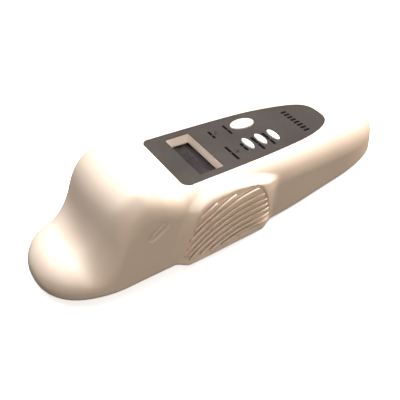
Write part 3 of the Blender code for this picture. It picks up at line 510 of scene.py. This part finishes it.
class Finish:
    """A material's node tree, with its Principled shader and short ways to add nodes."""

    def __init__(self, name, colour, roughness, **settings):
        self.material = bpy.data.materials.new(name)
        self.material.use_nodes = True
        self.nodes = self.material.node_tree.nodes
        self.links = self.material.node_tree.links
        self.shader = self.nodes["Principled BSDF"]
        self.colour = (*colour, 1)
        self.shader.inputs["Base Color"].default_value = self.colour
        self.shader.inputs["Roughness"].default_value = roughness
        for socket, value in settings.items():
            self.shader.inputs[socket.replace("_", " ")].default_value = value
        self.place = self.node("ShaderNodeTexCoord").outputs["Object"]

    def node(self, kind, links=(), **values):
        """A new node. A value is a socket's constant, or else one of the node's own settings."""
        made = self.nodes.new(kind)
        for key, value in values.items():
            if key in made.inputs:
                made.inputs[key].default_value = value
            else:
                setattr(made, key, value)
        for socket, source in dict(links).items():
            self.links.new(source, made.inputs[socket])
        return made

    def noise(self, scale, detail):
        """A 0 to 1 noise with the given number of cells in a metre."""
        made = self.node("ShaderNodeTexNoise", {"Vector": self.place}, Scale=scale, Detail=detail)
        return made.outputs["Fac"]

    def remap(self, source, low, high, to_low, to_high):
        """source stretched from the range low to high to the range to_low to to_high."""
        made = self.node("ShaderNodeMapRange", {"Value": source})
        made.inputs["From Min"].default_value = low
        made.inputs["From Max"].default_value = high
        made.inputs["To Min"].default_value = to_low
        made.inputs["To Max"].default_value = to_high
        return made.outputs["Result"]

    def tint(self, base, colour, amount):
        """base mixed towards colour by a 0 to 1 source. base is a socket or a colour."""
        made = self.node("ShaderNodeMix", data_type="RGBA")
        self.links.new(amount, made.inputs["Factor"])
        first, second = (socket for socket in made.inputs if socket.type == "RGBA")
        if isinstance(base, tuple):
            first.default_value = base
        else:
            self.links.new(base, first)
        second.default_value = (*colour, 1)
        return next(socket for socket in made.outputs if socket.type == "RGBA")

    def edges(self, radius):
        """(rounded normal, 0 to 1 closeness to an edge) from Blender's bevel node."""
        bevel = self.node("ShaderNodeBevel", samples=6, Radius=radius * MM)
        flat = self.node("ShaderNodeNewGeometry").outputs["Normal"]
        rounded = bevel.outputs["Normal"]
        made = self.node("ShaderNodeVectorMath", {0: rounded, 1: flat}, operation="DOT_PRODUCT")
        return rounded, self.remap(made.outputs["Value"], FLAT_COSINE, EDGE_COSINE, 0.0, 1.0)

    def bump(self, height, distance, strength, normal):
        """normal roughened by a height source. distance is in millimetres."""
        made = self.node("ShaderNodeBump", {"Height": height, "Normal": normal})
        made.inputs["Distance"].default_value = distance * MM
        made.inputs["Strength"].default_value = strength
        return made.outputs["Normal"]

    def wire(self, **sources):
        """Links the sources to the shader's sockets and gives back the finished material."""
        for socket, source in sources.items():
            self.links.new(source, self.shader.inputs[socket.replace("_", " ")])
        return self.material


def lighter(colour, by):
    return tuple(min(1.0, c + (1 - c) * by) for c in colour)


def darker(colour, by):
    return tuple(c * (1 - by) for c in colour)


def moulded(name, colour, roughness, grain=0.5, grain_depth=0.02, variation=0.10, wear=0.25, edge=0.35,
            **settings):
    """A finish with an uneven tint, fine specks and grain, and rounded edges that have rubbed lighter.

    grain is the size of the grain's cells and grain_depth its height, in millimetres; edge is the radius
    of the rounded edges. variation and wear are shares of the way to a darker and to a lighter tint.
    """
    finish = Finish(name, colour, roughness, **settings)
    normal, near_edge = finish.edges(edge)
    cloud = finish.remap(finish.noise(14, 4), 0.35, 0.65, 0.0, 1.0)
    speck = finish.remap(finish.noise(900, 2), 0.3, 0.7, 0.0, 0.35)
    tinted = finish.tint(finish.colour, darker(colour, variation), cloud)
    tinted = finish.tint(tinted, darker(colour, variation * 1.3), speck)
    rubbed = finish.node("ShaderNodeMath", {0: near_edge, 1: finish.noise(160, 4)}, operation="MULTIPLY")
    rubbed = finish.remap(rubbed.outputs["Value"], 0.2, 0.7, 0.0, wear)
    tinted = finish.tint(tinted, lighter(colour, 0.45), rubbed)
    rough = finish.remap(finish.noise(60, 5), 0.3, 0.7, roughness - 0.05, roughness + 0.07)
    bumped = finish.bump(finish.noise(1 / (grain * MM), 2), grain_depth, 0.35, normal)
    return finish.wire(Base_Color=tinted, Roughness=rough, Normal=bumped)


IVORY_COLOUR = (0.80, 0.655, 0.53)
IVORY = moulded("ivory_plastic_finish", IVORY_COLOUR, 0.36, grain=0.7, grain_depth=0.015, variation=0.05)
KEY_WHITE = moulded("white_key_finish", (0.86, 0.84, 0.80), 0.33, variation=0.04)
GRAPHITE = moulded("graphite_label_finish", (0.052, 0.042, 0.036), 0.5, grain=0.35, grain_depth=0.05,
                   variation=0.4, wear=0.15, edge=0.15, Specular_IOR_Level=0.08)
PRINT = moulded("panel_print_finish", (0.005, 0.004, 0.005), 0.8, wear=0.0, edge=0.1, Specular_IOR_Level=0.0)
WELL = moulded("display_well_finish", (0.88, 0.79, 0.72), 0.45, variation=0.05)
BLACK = moulded("black_plastic_finish", (0.03, 0.03, 0.032), 0.45)
NATURAL = moulded("natural_plastic_finish", (0.70, 0.66, 0.55), 0.45)
LAMP = moulded("dark_lamp_finish", (0.012, 0.011, 0.010), 0.5, grain_depth=0.0, wear=0.0,
               Specular_IOR_Level=0.1)
DISPLAY = moulded("display_glass_finish", (0.034, 0.026, 0.030), 0.3, grain_depth=0.0, variation=0.3,
                  wear=0.0, Specular_IOR_Level=0.2)
CLEAR = moulded("clear_window_finish", (0.93, 0.93, 0.95), 0.06, grain_depth=0.0, wear=0.0, variation=0.02,
                Transmission_Weight=1.0, IOR=1.25)
STEEL = moulded("steel_finish", (0.62, 0.62, 0.62), 0.28, grain=1.2, variation=0.15, Metallic=1.0)
BOARD = moulded("board_green_finish", (0.02, 0.16, 0.07), 0.35, variation=0.4)
COPPER = moulded("copper_wire_finish", (0.72, 0.35, 0.18), 0.3, variation=0.3, Metallic=1.0)
BLUE_SLEEVE = moulded("blue_sleeve_finish", (0.05, 0.12, 0.45), 0.4)
RED_SLEEVE = moulded("red_sleeve_finish", (0.55, 0.03, 0.03), 0.4)
RIBBON = moulded("grey_ribbon_finish", (0.42, 0.42, 0.44), 0.5)
CELL = moulded("battery_wrap_finish", (0.62, 0.46, 0.12), 0.25, variation=0.2, Metallic=0.5)
FINISHES = {"ivory_plastic": IVORY, "white_key": KEY_WHITE, "graphite_label": GRAPHITE,
            "black_plastic": BLACK, "natural_plastic": NATURAL, "dark_lamp": LAMP,
            "display_glass": DISPLAY, "clear_window": CLEAR,
            "steel": STEEL, "board_green": BOARD, "copper_wire": COPPER, "blue_sleeve": BLUE_SLEEVE,
            "red_sleeve": RED_SLEEVE, "grey_ribbon": RIBBON, "battery_wrap": CELL}


def dress_cad_nodes():
    """Every CAD node takes the finish of its own material slot."""
    for thing in frame["nodes"].values():
        for place in thing.material_slots:
            place.material = FINISHES[place.material.name.split(".")[0]]


# ---- the moulded shells ----

POINT_POWER = 4.33          # the label's point: share along ** POINT_POWER + share across ** POINT_BLUNT = 1
POINT_BLUNT = 3.09
POINT_STARTS = 0.88         # share of the label's length
SIDE_TAPER = 0.033
LABEL_SPINE = (26, 100)     # the label's surface is drawn in towards this part of its centre line
LABEL_LOW = -0.5            # offsets from the panel's surface along its normal
LABEL_HIGH = -0.06
LABEL_SEAT = -0.55
LABEL_GAP = 0.12
CUTTER_HIGH = 8
HOLE_REACH = 6


def overlay_outline():
    """The label's outline as (u, y): a straight front edge with round corners, and a long round point."""
    turn = np.linspace(0, math.pi / 2, 13)
    corner_u = PANEL_CORNER * (1 - np.sin(turn[::-1]))
    corner_y = PANEL_HALF_WIDTH - PANEL_CORNER * (1 - np.cos(turn[::-1]))
    along = np.linspace((PANEL_CORNER + 1) / PANEL_LENGTH, POINT_STARTS, 46)
    across = (1 - along ** POINT_POWER) ** (1 / POINT_BLUNT)
    point_across = across[-1] * np.cos(np.linspace(0, math.pi / 2, 26)[1:])
    point_along = (1 - point_across ** POINT_BLUNT) ** (1 / POINT_POWER)
    side_u = PANEL_LENGTH * np.concatenate([along, point_along])
    side_y = (PANEL_HALF_WIDTH - SIDE_TAPER * side_u) * np.concatenate([across, point_across])
    side_y[-1] = 0
    u = np.concatenate([corner_u, side_u])
    y = np.concatenate([corner_y, side_y])
    return np.concatenate([u, u[-2::-1]]), np.concatenate([y, -y[-2::-1]])


def panel_fall(u, y):
    """How far the rounded edge of the housing lies under the panel's plane at (u, y)."""
    x = PANEL_FRONT_X + u * PANEL_NORMAL.z
    across, down = edge_rounding(x)
    share = np.clip(1 - (half_width(x) - np.abs(y)) / across, 0, 1)
    return down * (1 - np.sqrt(1 - share * share))


def panel_slab(name, grow, low, high):
    """The label's outline, grown by grow, as a slab between two offsets from the housing's surface.

    An offset of CUTTER_HIGH is measured from the panel's plane instead.
    """
    u, y = overlay_outline()
    middle_u = np.clip(u, *LABEL_SPINE)
    reach = np.hypot(u - middle_u, y)
    u = u + (u - middle_u) / reach * grow
    y = y * (1 + grow / reach)
    shares = (1.0, 0.75, 0.5, 0.3, 0.15, 0.05, 0.0)
    rings = []
    for offset, order in ((low, shares), (high, shares[::-1])):
        for inward in order:
            pu = u + (middle_u - u) * inward
            py = y * (1 - inward)
            fall = 0 if offset == CUTTER_HIGH else panel_fall(pu, py)
            rings.append(np.stack([pu, py, offset - fall + 0 * pu], axis=1) * MM)
    return from_rings(name, rings, PANEL)


WINDOW_MARGIN = 1.5         # how far the window reaches under the well's walls
WELL_WALL = 1.7
WELL_SEAT = 1.0             # the housing's opening stands this far outside the well's inner faces
WELL_FLOOR_GAP = 0.3
WELL_TOP = -0.56


def well_opening():
    """(low, high) of the display's opening in the panel's frame, at the height of the window's face."""
    (u0, y0, _), (u1, y1, face_w) = panel_bounds("display_window")
    return (u0 + WINDOW_MARGIN, y0 + WINDOW_MARGIN, face_w), (u1 - WINDOW_MARGIN, y1 - WINDOW_MARGIN, face_w)


KEY_NODES = ["scan_key", "menu_key_1", "menu_key_2", "menu_key_3"]
LAMP_NODES = ["scan_lamp", "battery_lamp"]
KEY_FLANGE = 1.5
KEY_FLANGE_THICKNESS = 1.2
KEY_CLEARANCE = 0.35
KEY_PROUD = 1.2
KEY_DOME = 0.35
KEY_RIM_STARTS = 0.86       # share of the cap's half width
KEY_RIM_DROP = 0.7
KEY_POST_RADIUS = 1.8
UNDER_WALL = -3.4           # just under the panel's wall
LAMP_CLEARANCE = 0.25
LAMP_LIP = 0.4
LAMP_SUNK = 0.3             # the lens's top lies this far under the CAD lamp's
LAMP_DOME = 0.9
LAMP_LIP_TOP = -4.6
LAMP_FOOT = -5.5
LAMP_LEG_OFFSET = 0.9
LAMP_LEG_HALF_WIDTH = 0.25
JOIN = 0.05                 # overlap where two closed shapes meet


def key_shape(node):
    """(u, y, half length, half width) of a key's cap."""
    (u0, y0, _), (u1, y1, _) = panel_bounds(node)
    return (u0 + u1) / 2, (y0 + y1) / 2, (u1 - u0) / 2 - KEY_FLANGE, (y1 - y0) / 2 - KEY_FLANGE


def lamp_shape(node):
    """(u, y, radius) of a lamp."""
    (u0, y0, _), (u1, y1, _) = panel_bounds(node)
    return (u0 + u1) / 2, (y0 + y1) / 2, (u1 - u0) / 2 - LAMP_LIP


def panel_holes(name, display_grow):
    """One cutter for the display's opening and the holes of the keys and lamps."""
    (u0, y0, _), (u1, y1, _) = well_opening()
    holes = [box(name + "_display", (u0 - display_grow, y0 - display_grow, -HOLE_REACH),
                 (u1 + display_grow, y1 + display_grow, HOLE_REACH), PANEL)]
    ends = (-HOLE_REACH, HOLE_REACH)
    for node in KEY_NODES:
        u, y, a, b = key_shape(node)
        rings = [ellipse_ring(u, y, a + KEY_CLEARANCE, b + KEY_CLEARANCE, w) for w in ends]
        holes.append(from_rings(name + node, rings, PANEL, caps=True))
    for node in LAMP_NODES:
        u, y, radius = lamp_shape(node)
        bore = radius + LAMP_CLEARANCE
        rings = [ellipse_ring(u, y, bore, bore, w, 32) for w in ends]
        holes.append(from_rings(name + node, rings, PANEL, caps=True))
    return merged(name, holes)


LEAST_WALL_HEIGHT = 0.5     # at the tips, the inner wall's straight part is at least this high


def inner_rings(x, y):
    """The shell's inner surface, from the parting up its wall and over its top."""
    px, py, _ = base_ring(x, y, angle_at_height(x, PARTING_Z), WALL)
    rings = [np.stack([px + STATION_SHIFT, py, np.full(len(px), PARTING_Z)], axis=1) * MM]
    ix, iy, _ = inset(x, y, WALL)
    across, down = edge_rounding(ix)
    reach = inset(ix, iy, 0)[2]
    across = np.minimum(across, reach * MOST_INSET)
    high = top_height(ix, iy) - WALL - down
    low = base_rounding(x)
    for share in (0.0, 0.33, 0.67):
        z = np.maximum(low, low + (high - low) * share)
        rings.append(ring(ix, iy, z, relief=False))
    for step in range(INNER_EDGE_STEPS + 1):
        angle = math.pi / 2 * step / INNER_EDGE_STEPS
        px, py, _ = inset(ix, iy, across * (1 - math.cos(angle)))
        z = top_height(px, py) - WALL - down * (1 - math.sin(angle))
        rings.append(ring(px, py, np.maximum(z, low + LEAST_WALL_HEIGHT), relief=False))
    for share in (0.5, 1.0):
        px, py, _ = inset(ix, iy, across + (reach - across) * share)
        rings.append(ring(px, py, top_height(px, py) - WALL, relief=False))
    return rings


def make_housing():
    """The ivory upper housing as one closed shell, open at its base, with the panel's recess and holes."""
    x, y = outline()
    rings = top_rings(x, y) + wall_rings(x, y)
    parting = angle_at_height(x, PARTING_Z)
    for share in (0.25, 0.5, 0.75, 1.0):
        rings.append(ring(*base_ring(x, y, parting * share)))
    rings += inner_rings(x, y)
    housing = from_rings("housing_skin", rings)
    recess = panel_slab("label_recess_cutter", LABEL_GAP, LABEL_SEAT, CUTTER_HIGH)
    holes = panel_holes("panel_holes_cutter", WELL_SEAT)
    boolean(housing, recess, "DIFFERENCE")
    boolean(housing, holes, "DIFFERENCE")
    settle(housing, helpers=(recess, holes))
    return dress(housing, IVORY, "scanner", "ivory_plastic", "upper_housing")


def make_well():
    """The beige walls round the display, from under the label down to the window."""
    (u0, y0, window_w), (u1, y1, _) = well_opening()
    floor_w = window_w + WELL_FLOOR_GAP
    well = box("display_well", (u0 - WELL_WALL, y0 - WELL_WALL, floor_w),
               (u1 + WELL_WALL, y1 + WELL_WALL, WELL_TOP), PANEL)
    hollow = box("well_cutter", (u0, y0, floor_w - HOLE_REACH), (u1, y1, HOLE_REACH), PANEL)
    boolean(well, hollow, "DIFFERENCE")
    settle(well, helpers=(hollow,))
    return dress(well, WELL, "scanner", "ivory_plastic")


def side_surface(x, z):
    """How far the grip's swelling lies from the middle plane, on the side wall or its rounded top edge."""
    across, down = edge_rounding(x)
    rise = np.clip(1 - (top_height(x, 0 * x) - z) / down, 0, 1)
    inward = across * (1 - np.sqrt(1 - rise * rise))
    return half_width(x) - inward + grip_swell(x, z)


def rib_rings(front, rear, side):
    """Rings along a rib: an arc between its ends, on the grip's surface, with half-round ends."""
    (x0, z0), (x1, z1) = front, rear
    length = math.hypot(x1 - x0, z1 - z0)
    end_share = RIB_RADIUS / length
    end_turns = [math.pi / 2 * i / RIB_END_STEPS for i in range(RIB_END_STEPS)]
    ends = np.array([end_share * (1 - math.cos(turn)) for turn in end_turns])
    straight = np.linspace(end_share, 1 - end_share, round(length / RIB_PITCH))
    t = np.concatenate([ends, straight, 1 - ends[::-1]])
    from_straight = (1 - np.minimum(t, 1 - t) / end_share).clip(0)
    radius = RIB_RADIUS * np.sqrt(np.clip(1 - from_straight ** 2, 0, 1))
    bow = t * (1 - t) * length * length / (2 * RIB_BOW_RADIUS)
    x = x0 + (x1 - x0) * t - bow * (z1 - z0) / length
    z = z0 + (z1 - z0) * t + bow * (x1 - x0) / length
    y = side_surface(x, z) - RIB_SINK
    route = [Vector((px + STATION_SHIFT, side * py, pz)) * MM for px, py, pz in zip(x, y, z)]
    turns = [2 * math.pi * i / RIB_SIDES for i in range(RIB_SIDES)]
    rings = []
    for before, here, after, r in zip([route[0]] + route, route, route[1:] + [route[-1]], radius):
        along = (after - before).normalized()
        up = along.cross(Vector((0, side, 0))).normalized()
        out = up.cross(along).normalized()
        r = max(r, RIB_TIP_RADIUS) * MM
        rings.append([here + (out * math.cos(turn) + up * math.sin(turn)) * r for turn in turns])
    return rings


def make_ribs():
    """The ten ribs of each grip, as one piece for each side."""
    for label, side in (("left", 1), ("right", -1)):
        ribs = []
        for i, (front, rear) in enumerate(RIBS):
            ribs.append(from_rings(f"rib_{i}", rib_rings(front, rear, side), caps=True))
        made = merged(f"grip_ribs_{label}", ribs)
        settle(made, angle=60)
        dress(made, IVORY, "scanner", "ivory_plastic")


def make_label():
    """The dark label over the control panel, cut round the display, keys and lamps."""
    label = panel_slab("panel_label", 0, LABEL_LOW, LABEL_HIGH)
    holes = panel_holes("label_holes_cutter", 0)
    boolean(label, holes, "DIFFERENCE")
    settle(label, helpers=(holes,))
    return dress(label, GRAPHITE, "scanner", "graphite_label", "panel_overlay")


# Captions of the lamps and keys on the label, as (u, y from, y to), and the row of plain bars behind them.
CAPTIONS = [(47.9, 8.0, 17.5), (61.5, 6.8, 19.0), (47.7, -22.0, -5.0), (80.4, -19.6, -3.5),
            (70.3, -20.9, -4.2), (59.2, -16.1, -6.8)]
CAPTION_HEIGHT = 1.9
CAPTION_GAP = 0.8
CAPTION_SPLITS = (0.42, 0.48, 0.54)     # shares of a caption's length where its gap lies, in turn
BAR_ROW_U = 111.5
BAR_ROW_ENDS = (-16.0, 11.5)
BAR_COUNT = 8
BAR_SIZE = (4.8, 2.1)
PRINT_LOW = -0.2
PRINT_HIGH = -0.02


def print_bar(u, y, length_u, length_y):
    """One flat bar of print, sunk into the label so that only its top shows."""
    low = (u - length_u / 2, y - length_y / 2, PRINT_LOW)
    high = (u + length_u / 2, y + length_y / 2, PRINT_HIGH)
    return box("bar", low, high, PANEL)


def make_print():
    """Plain bars where the label names its lamps and keys, and a row of plain bars towards the handle."""
    bars = []
    for i, (u, low, high) in enumerate(CAPTIONS):
        gap = low + (high - low) * CAPTION_SPLITS[i % len(CAPTION_SPLITS)]
        for start, stop in ((low, gap - CAPTION_GAP / 2), (gap + CAPTION_GAP / 2, high)):
            bars.append(print_bar(u, (start + stop) / 2, CAPTION_HEIGHT, stop - start))
    for y in np.linspace(*BAR_ROW_ENDS, BAR_COUNT):
        bars.append(print_bar(BAR_ROW_U, y, *BAR_SIZE))
    made = merged("panel_print", bars)
    settle(made)
    return dress(made, PRINT, "scanner", "graphite_label")


# ---- keys, lamps and display ----

def make_key(node):
    """A domed oval cap with a rounded rim, its flange under the panel, and the post under it."""
    u, y, a, b = key_shape(node)
    post_w = panel_bounds(node)[0][2]
    flange_w = UNDER_WALL - KEY_FLANGE_THICKNESS
    sections = []
    for share in np.linspace(0.02, KEY_RIM_STARTS, 12):
        sections.append((a * share, b * share, KEY_PROUD - KEY_DOME * share * share))
    rim_w = KEY_PROUD - KEY_DOME * KEY_RIM_STARTS ** 2
    for turn in np.radians(np.linspace(10, 90, 9)):
        share = KEY_RIM_STARTS + (1 - KEY_RIM_STARTS) * math.sin(turn)
        sections.append((a * share, b * share, rim_w - KEY_RIM_DROP * (1 - math.cos(turn))))
    sections.append((a, b, UNDER_WALL))
    sections.append((a + KEY_FLANGE, b + KEY_FLANGE, UNDER_WALL))
    sections.append((a + KEY_FLANGE, b + KEY_FLANGE, flange_w))
    sections.append((KEY_POST_RADIUS, KEY_POST_RADIUS, flange_w))
    sections.append((KEY_POST_RADIUS, KEY_POST_RADIUS, post_w))
    rings = [ellipse_ring(u, y, *section) for section in sections]
    cap = from_rings(node + "_cap", rings, PANEL, caps=True)
    settle(cap, angle=40)
    return dress(cap, KEY_WHITE, node, "white_key", node)


def make_lamp(node):
    """A round lamp on two legs, with a domed head that looks out through the label."""
    u, y, radius = lamp_shape(node)
    (_, _, legs_w), (_, _, top_w) = panel_bounds(node)
    profile = []
    for turn in np.radians(np.linspace(0, 90, 9)):
        profile.append((radius * math.sin(turn), top_w - LAMP_SUNK - LAMP_DOME * (1 - math.cos(turn))))
    profile += [(radius, LAMP_LIP_TOP), (radius + LAMP_LIP, LAMP_LIP_TOP), (radius + LAMP_LIP, LAMP_FOOT),
                (0, LAMP_FOOT)]
    parts = [turned(node + "_lens", profile, u, y, PANEL)]
    half = LAMP_LEG_HALF_WIDTH
    for leg_u in (u + LAMP_LEG_OFFSET, u - LAMP_LEG_OFFSET):
        parts.append(box("leg", (leg_u - half, y - half, legs_w),
                         (leg_u + half, y + half, LAMP_FOOT + JOIN), PANEL))
    made = merged(node + "_lens", parts)
    settle(made, angle=40)
    return dress(made, LAMP, "scanner", "dark_lamp", node)


# ---- base ----

SCREW_COUNT = 6
DOOR_GAP = 0.25
DOOR_TABS = 0.7             # the door's tabs hook over the base, this far in front of its hinge line
BOSS_FOOT = 1.2             # the bosses start inside the base's wall
BAY_HIGH = 14.0
BAY_WALLS = (2.5, 2.0)      # the front wall, and the rear and side walls, outside the door
BAY_ROOM = (1.0, 0.5, 0.4)  # the hollow reaches past the door in front and behind, and stays inside its sides
BOSS_RADIUS = 5.0
BOSS_HIGH = 10.0
BORE_RADIUS = 1.8
HEAD_BORE_RADIUS = 3.4
HEAD_BORE_HIGH = 5.0
CHAMFER_HIGH = 0.35
CHAMFER_RADIUS = 3.9
CHAMFER_MOUTH = -0.2
CUTTER_REACH = 5.0
FLOOR_CUT = 0.6


def base_rings():
    """The base cover's closed shell: from the middle of its flat base, round its edge and over its top."""
    x, y = outline()
    reach = inset(x, y, 0)[2]
    radius = np.minimum(base_rounding(x), reach * MOST_INSET)
    rings = []
    for share in (1.0, 0.5):
        px, py, _ = inset(x, y, radius + (reach - radius) * share)
        rings.append(ring(px, py, 0 * px, relief=False))
    start = angle_at_height(x, PARTING_Z - PARTING_GAP)
    for share in np.linspace(1, 0, BASE_EDGE_STEPS):
        rings.append(ring(*base_ring(x, y, start + (90 - start) * share)))
    for share in (0.12, 0.56, 1.0):
        px, py, _ = inset(x, y, reach * share)
        rings.append(ring(px, py, 0 * px + WALL, relief=False))
    return rings


def battery_bay():
    """(walls, hollow, opening) of the battery bay, round the battery door's CAD node."""
    (front, right, _), (rear, left, _) = node_bounds("battery_door")
    front += DOOR_TABS
    front_wall, wall = BAY_WALLS
    room_front, room_rear, room_side = BAY_ROOM
    walls = box("bay", (front - front_wall, right - wall, BOSS_FOOT), (rear + wall, left + wall, BAY_HIGH))
    hollow = box("bay_hollow", (front - room_front, right + room_side, WALL),
                 (rear + room_rear, left - room_side, BAY_HIGH + CUTTER_REACH))
    opening = box("bay_opening", (front - DOOR_GAP, right - DOOR_GAP, -CUTTER_REACH),
                  (rear + DOOR_GAP, left + DOOR_GAP, WALL + FLOOR_CUT))
    return walls, hollow, opening


def screw_boss(node):
    """(boss, bore) for one housing screw: a pillar, and a counterbored hole with a chamfered mouth."""
    (x0, y0, _), (x1, y1, _) = node_bounds(node)
    x, y = (x0 + x1) / 2, (y0 + y1) / 2
    boss = [(0, BOSS_HIGH), (BOSS_RADIUS, BOSS_HIGH), (BOSS_RADIUS, BOSS_FOOT), (0, BOSS_FOOT)]
    through = BOSS_HIGH + CUTTER_REACH
    bore = [(0, through), (BORE_RADIUS, through), (BORE_RADIUS, HEAD_BORE_HIGH),
            (HEAD_BORE_RADIUS, HEAD_BORE_HIGH), (HEAD_BORE_RADIUS, CHAMFER_HIGH),
            (CHAMFER_RADIUS, CHAMFER_MOUTH), (CHAMFER_RADIUS, -CUTTER_REACH), (0, -CUTTER_REACH)]
    return turned("boss", boss, x, y), turned("bore", bore, x, y)


def make_base():
    """The base cover, with the battery bay, the screws' counterbores and the opening for the door."""
    base = from_rings("base_skin", base_rings())
    walls, hollow, opening = battery_bay()
    bosses, openings = [walls], [opening]
    for i in range(1, SCREW_COUNT + 1):
        boss, bore = screw_boss(f"housing_screw_{i}")
        bosses.append(boss)
        openings.append(bore)
    bosses = merged("bosses", bosses)
    openings = merged("openings", openings)
    boolean(base, bosses, "UNION")
    boolean(base, hollow, "DIFFERENCE")
    boolean(base, openings, "DIFFERENCE")
    settle(base, helpers=(bosses, hollow, openings))
    return dress(base, IVORY, "scanner", "ivory_plastic", "base_cover")


# ---- studio ----

CAMERA_AIM = Vector((-24.27, -22.85, 30.0)) * MM
CAMERA_DISTANCE = 437.0 * MM
CAMERA_AZIMUTH = math.radians(-28.35)
CAMERA_ELEVATION = math.radians(41.47)
CAMERA_ROLL = math.radians(-5.505)
CAMERA_LENS = 58.0
CAMERA_NEAREST = 0.01


def make_camera():
    """The camera, from the front, the right side and above, rolled slightly."""
    data = bpy.data.cameras.new("camera")
    data.lens = CAMERA_LENS
    data.clip_start = CAMERA_NEAREST
    camera = new_object("camera", data)
    level = math.cos(CAMERA_ELEVATION)
    back = Vector((math.sin(CAMERA_AZIMUTH) * level, -math.cos(CAMERA_AZIMUTH) * level,
                   math.sin(CAMERA_ELEVATION)))
    camera.location = CAMERA_AIM + back * CAMERA_DISTANCE
    camera.rotation_mode = "QUATERNION"
    camera.rotation_quaternion = (-back).to_track_quat("-Z", "Y") @ Quaternion((0, 0, 1), CAMERA_ROLL)
    bpy.context.scene.camera = camera


LIGHT_DISTANCE = 3.0
WARM = (1.0, 0.90, 0.81)
COOL = (1.0, 1.05, 1.10)
# Name, azimuth from +X towards +Y and elevation in degrees, side in metres, power in watts, colour.
LIGHTS = [("key_light", 44, 54, 0.5, 99, COOL), ("top_light", 100, 65, 2.0, 49, COOL),
          ("side_top_light", 300, 62, 2.0, 5, COOL), ("rear_light", 80, 30, 2.0, 34, WARM),
          ("nose_light", 218, 33, 2.0, 5, WARM), ("front_light", 260, 30, 2.0, 43, WARM),
          ("side_light", 5, 22, 1.0, 135, WARM)]


def make_light(name, azimuth, elevation, size, power, colour):
    """A square light that looks at the scanner from the given direction."""
    turn, rise = math.radians(azimuth), math.radians(elevation)
    towards = Vector((math.cos(turn) * math.cos(rise), math.sin(turn) * math.cos(rise), math.sin(rise)))
    data = bpy.data.lights.new(name, "AREA")
    data.size = size
    data.energy = power
    data.color = colour
    light = new_object(name, data)
    light.location = towards * LIGHT_DISTANCE
    light.rotation_euler = (-towards).to_track_quat("-Z", "Y").to_euler()


SKY_SEEN = 1.0              # what the camera sees above the floor
SKY_LIGHT = 0.03            # what the sky adds to the lights
FLOOR_GLOW = 0.6
FLOOR_REACH = 4000
FLOOR_THICKNESS = 20
FLOOR_GAP = 0.02            # the floor's top lies just under the scanner


def make_sky():
    """A plain pale background that adds very little light."""
    world = bpy.data.worlds.new("studio_world")
    bpy.context.scene.world = world
    world.use_nodes = True
    nodes, links = world.node_tree.nodes, world.node_tree.links
    path = nodes.new("ShaderNodeLightPath")
    strength = nodes.new("ShaderNodeMapRange")
    strength.inputs["To Min"].default_value = SKY_LIGHT
    strength.inputs["To Max"].default_value = SKY_SEEN
    links.new(path.outputs["Is Camera Ray"], strength.inputs["Value"])
    links.new(strength.outputs["Result"], nodes["Background"].inputs["Strength"])
    nodes["Background"].inputs["Color"].default_value = (1, 1, 1, 1)


def make_floor():
    """A white light table: it shows white, and throws no light back on the scanner."""
    floor = box("studio_floor", (-FLOOR_REACH, -FLOOR_REACH, -FLOOR_THICKNESS),
                (FLOOR_REACH, FLOOR_REACH, -FLOOR_GAP))
    paper = Finish("studio_paper", (0.93, 0.93, 0.93), 0.85, Emission_Color=(1, 1, 1, 1),
                   Emission_Strength=FLOOR_GLOW)
    cloud = paper.remap(paper.noise(3, 2), 0.3, 0.7, 0.0, 1.0)
    paper.wire(Base_Color=paper.tint(paper.colour, (0.90, 0.90, 0.90), cloud))
    floor.data.materials.append(paper.material)
    floor.visible_diffuse = False
    floor.visible_glossy = False


def make_studio():
    """The sky, the floor and the lights."""
    make_sky()
    make_floor()
    for light in LIGHTS:
        make_light(*light)
    bpy.context.scene.view_settings.view_transform = "Standard"


make_camera()
make_studio()
dress_cad_nodes()
make_housing()
make_well()
make_ribs()
make_label()
make_print()
for key_node in KEY_NODES:
    make_key(key_node)
for lamp_node in LAMP_NODES:
    make_lamp(lamp_node)
make_base()
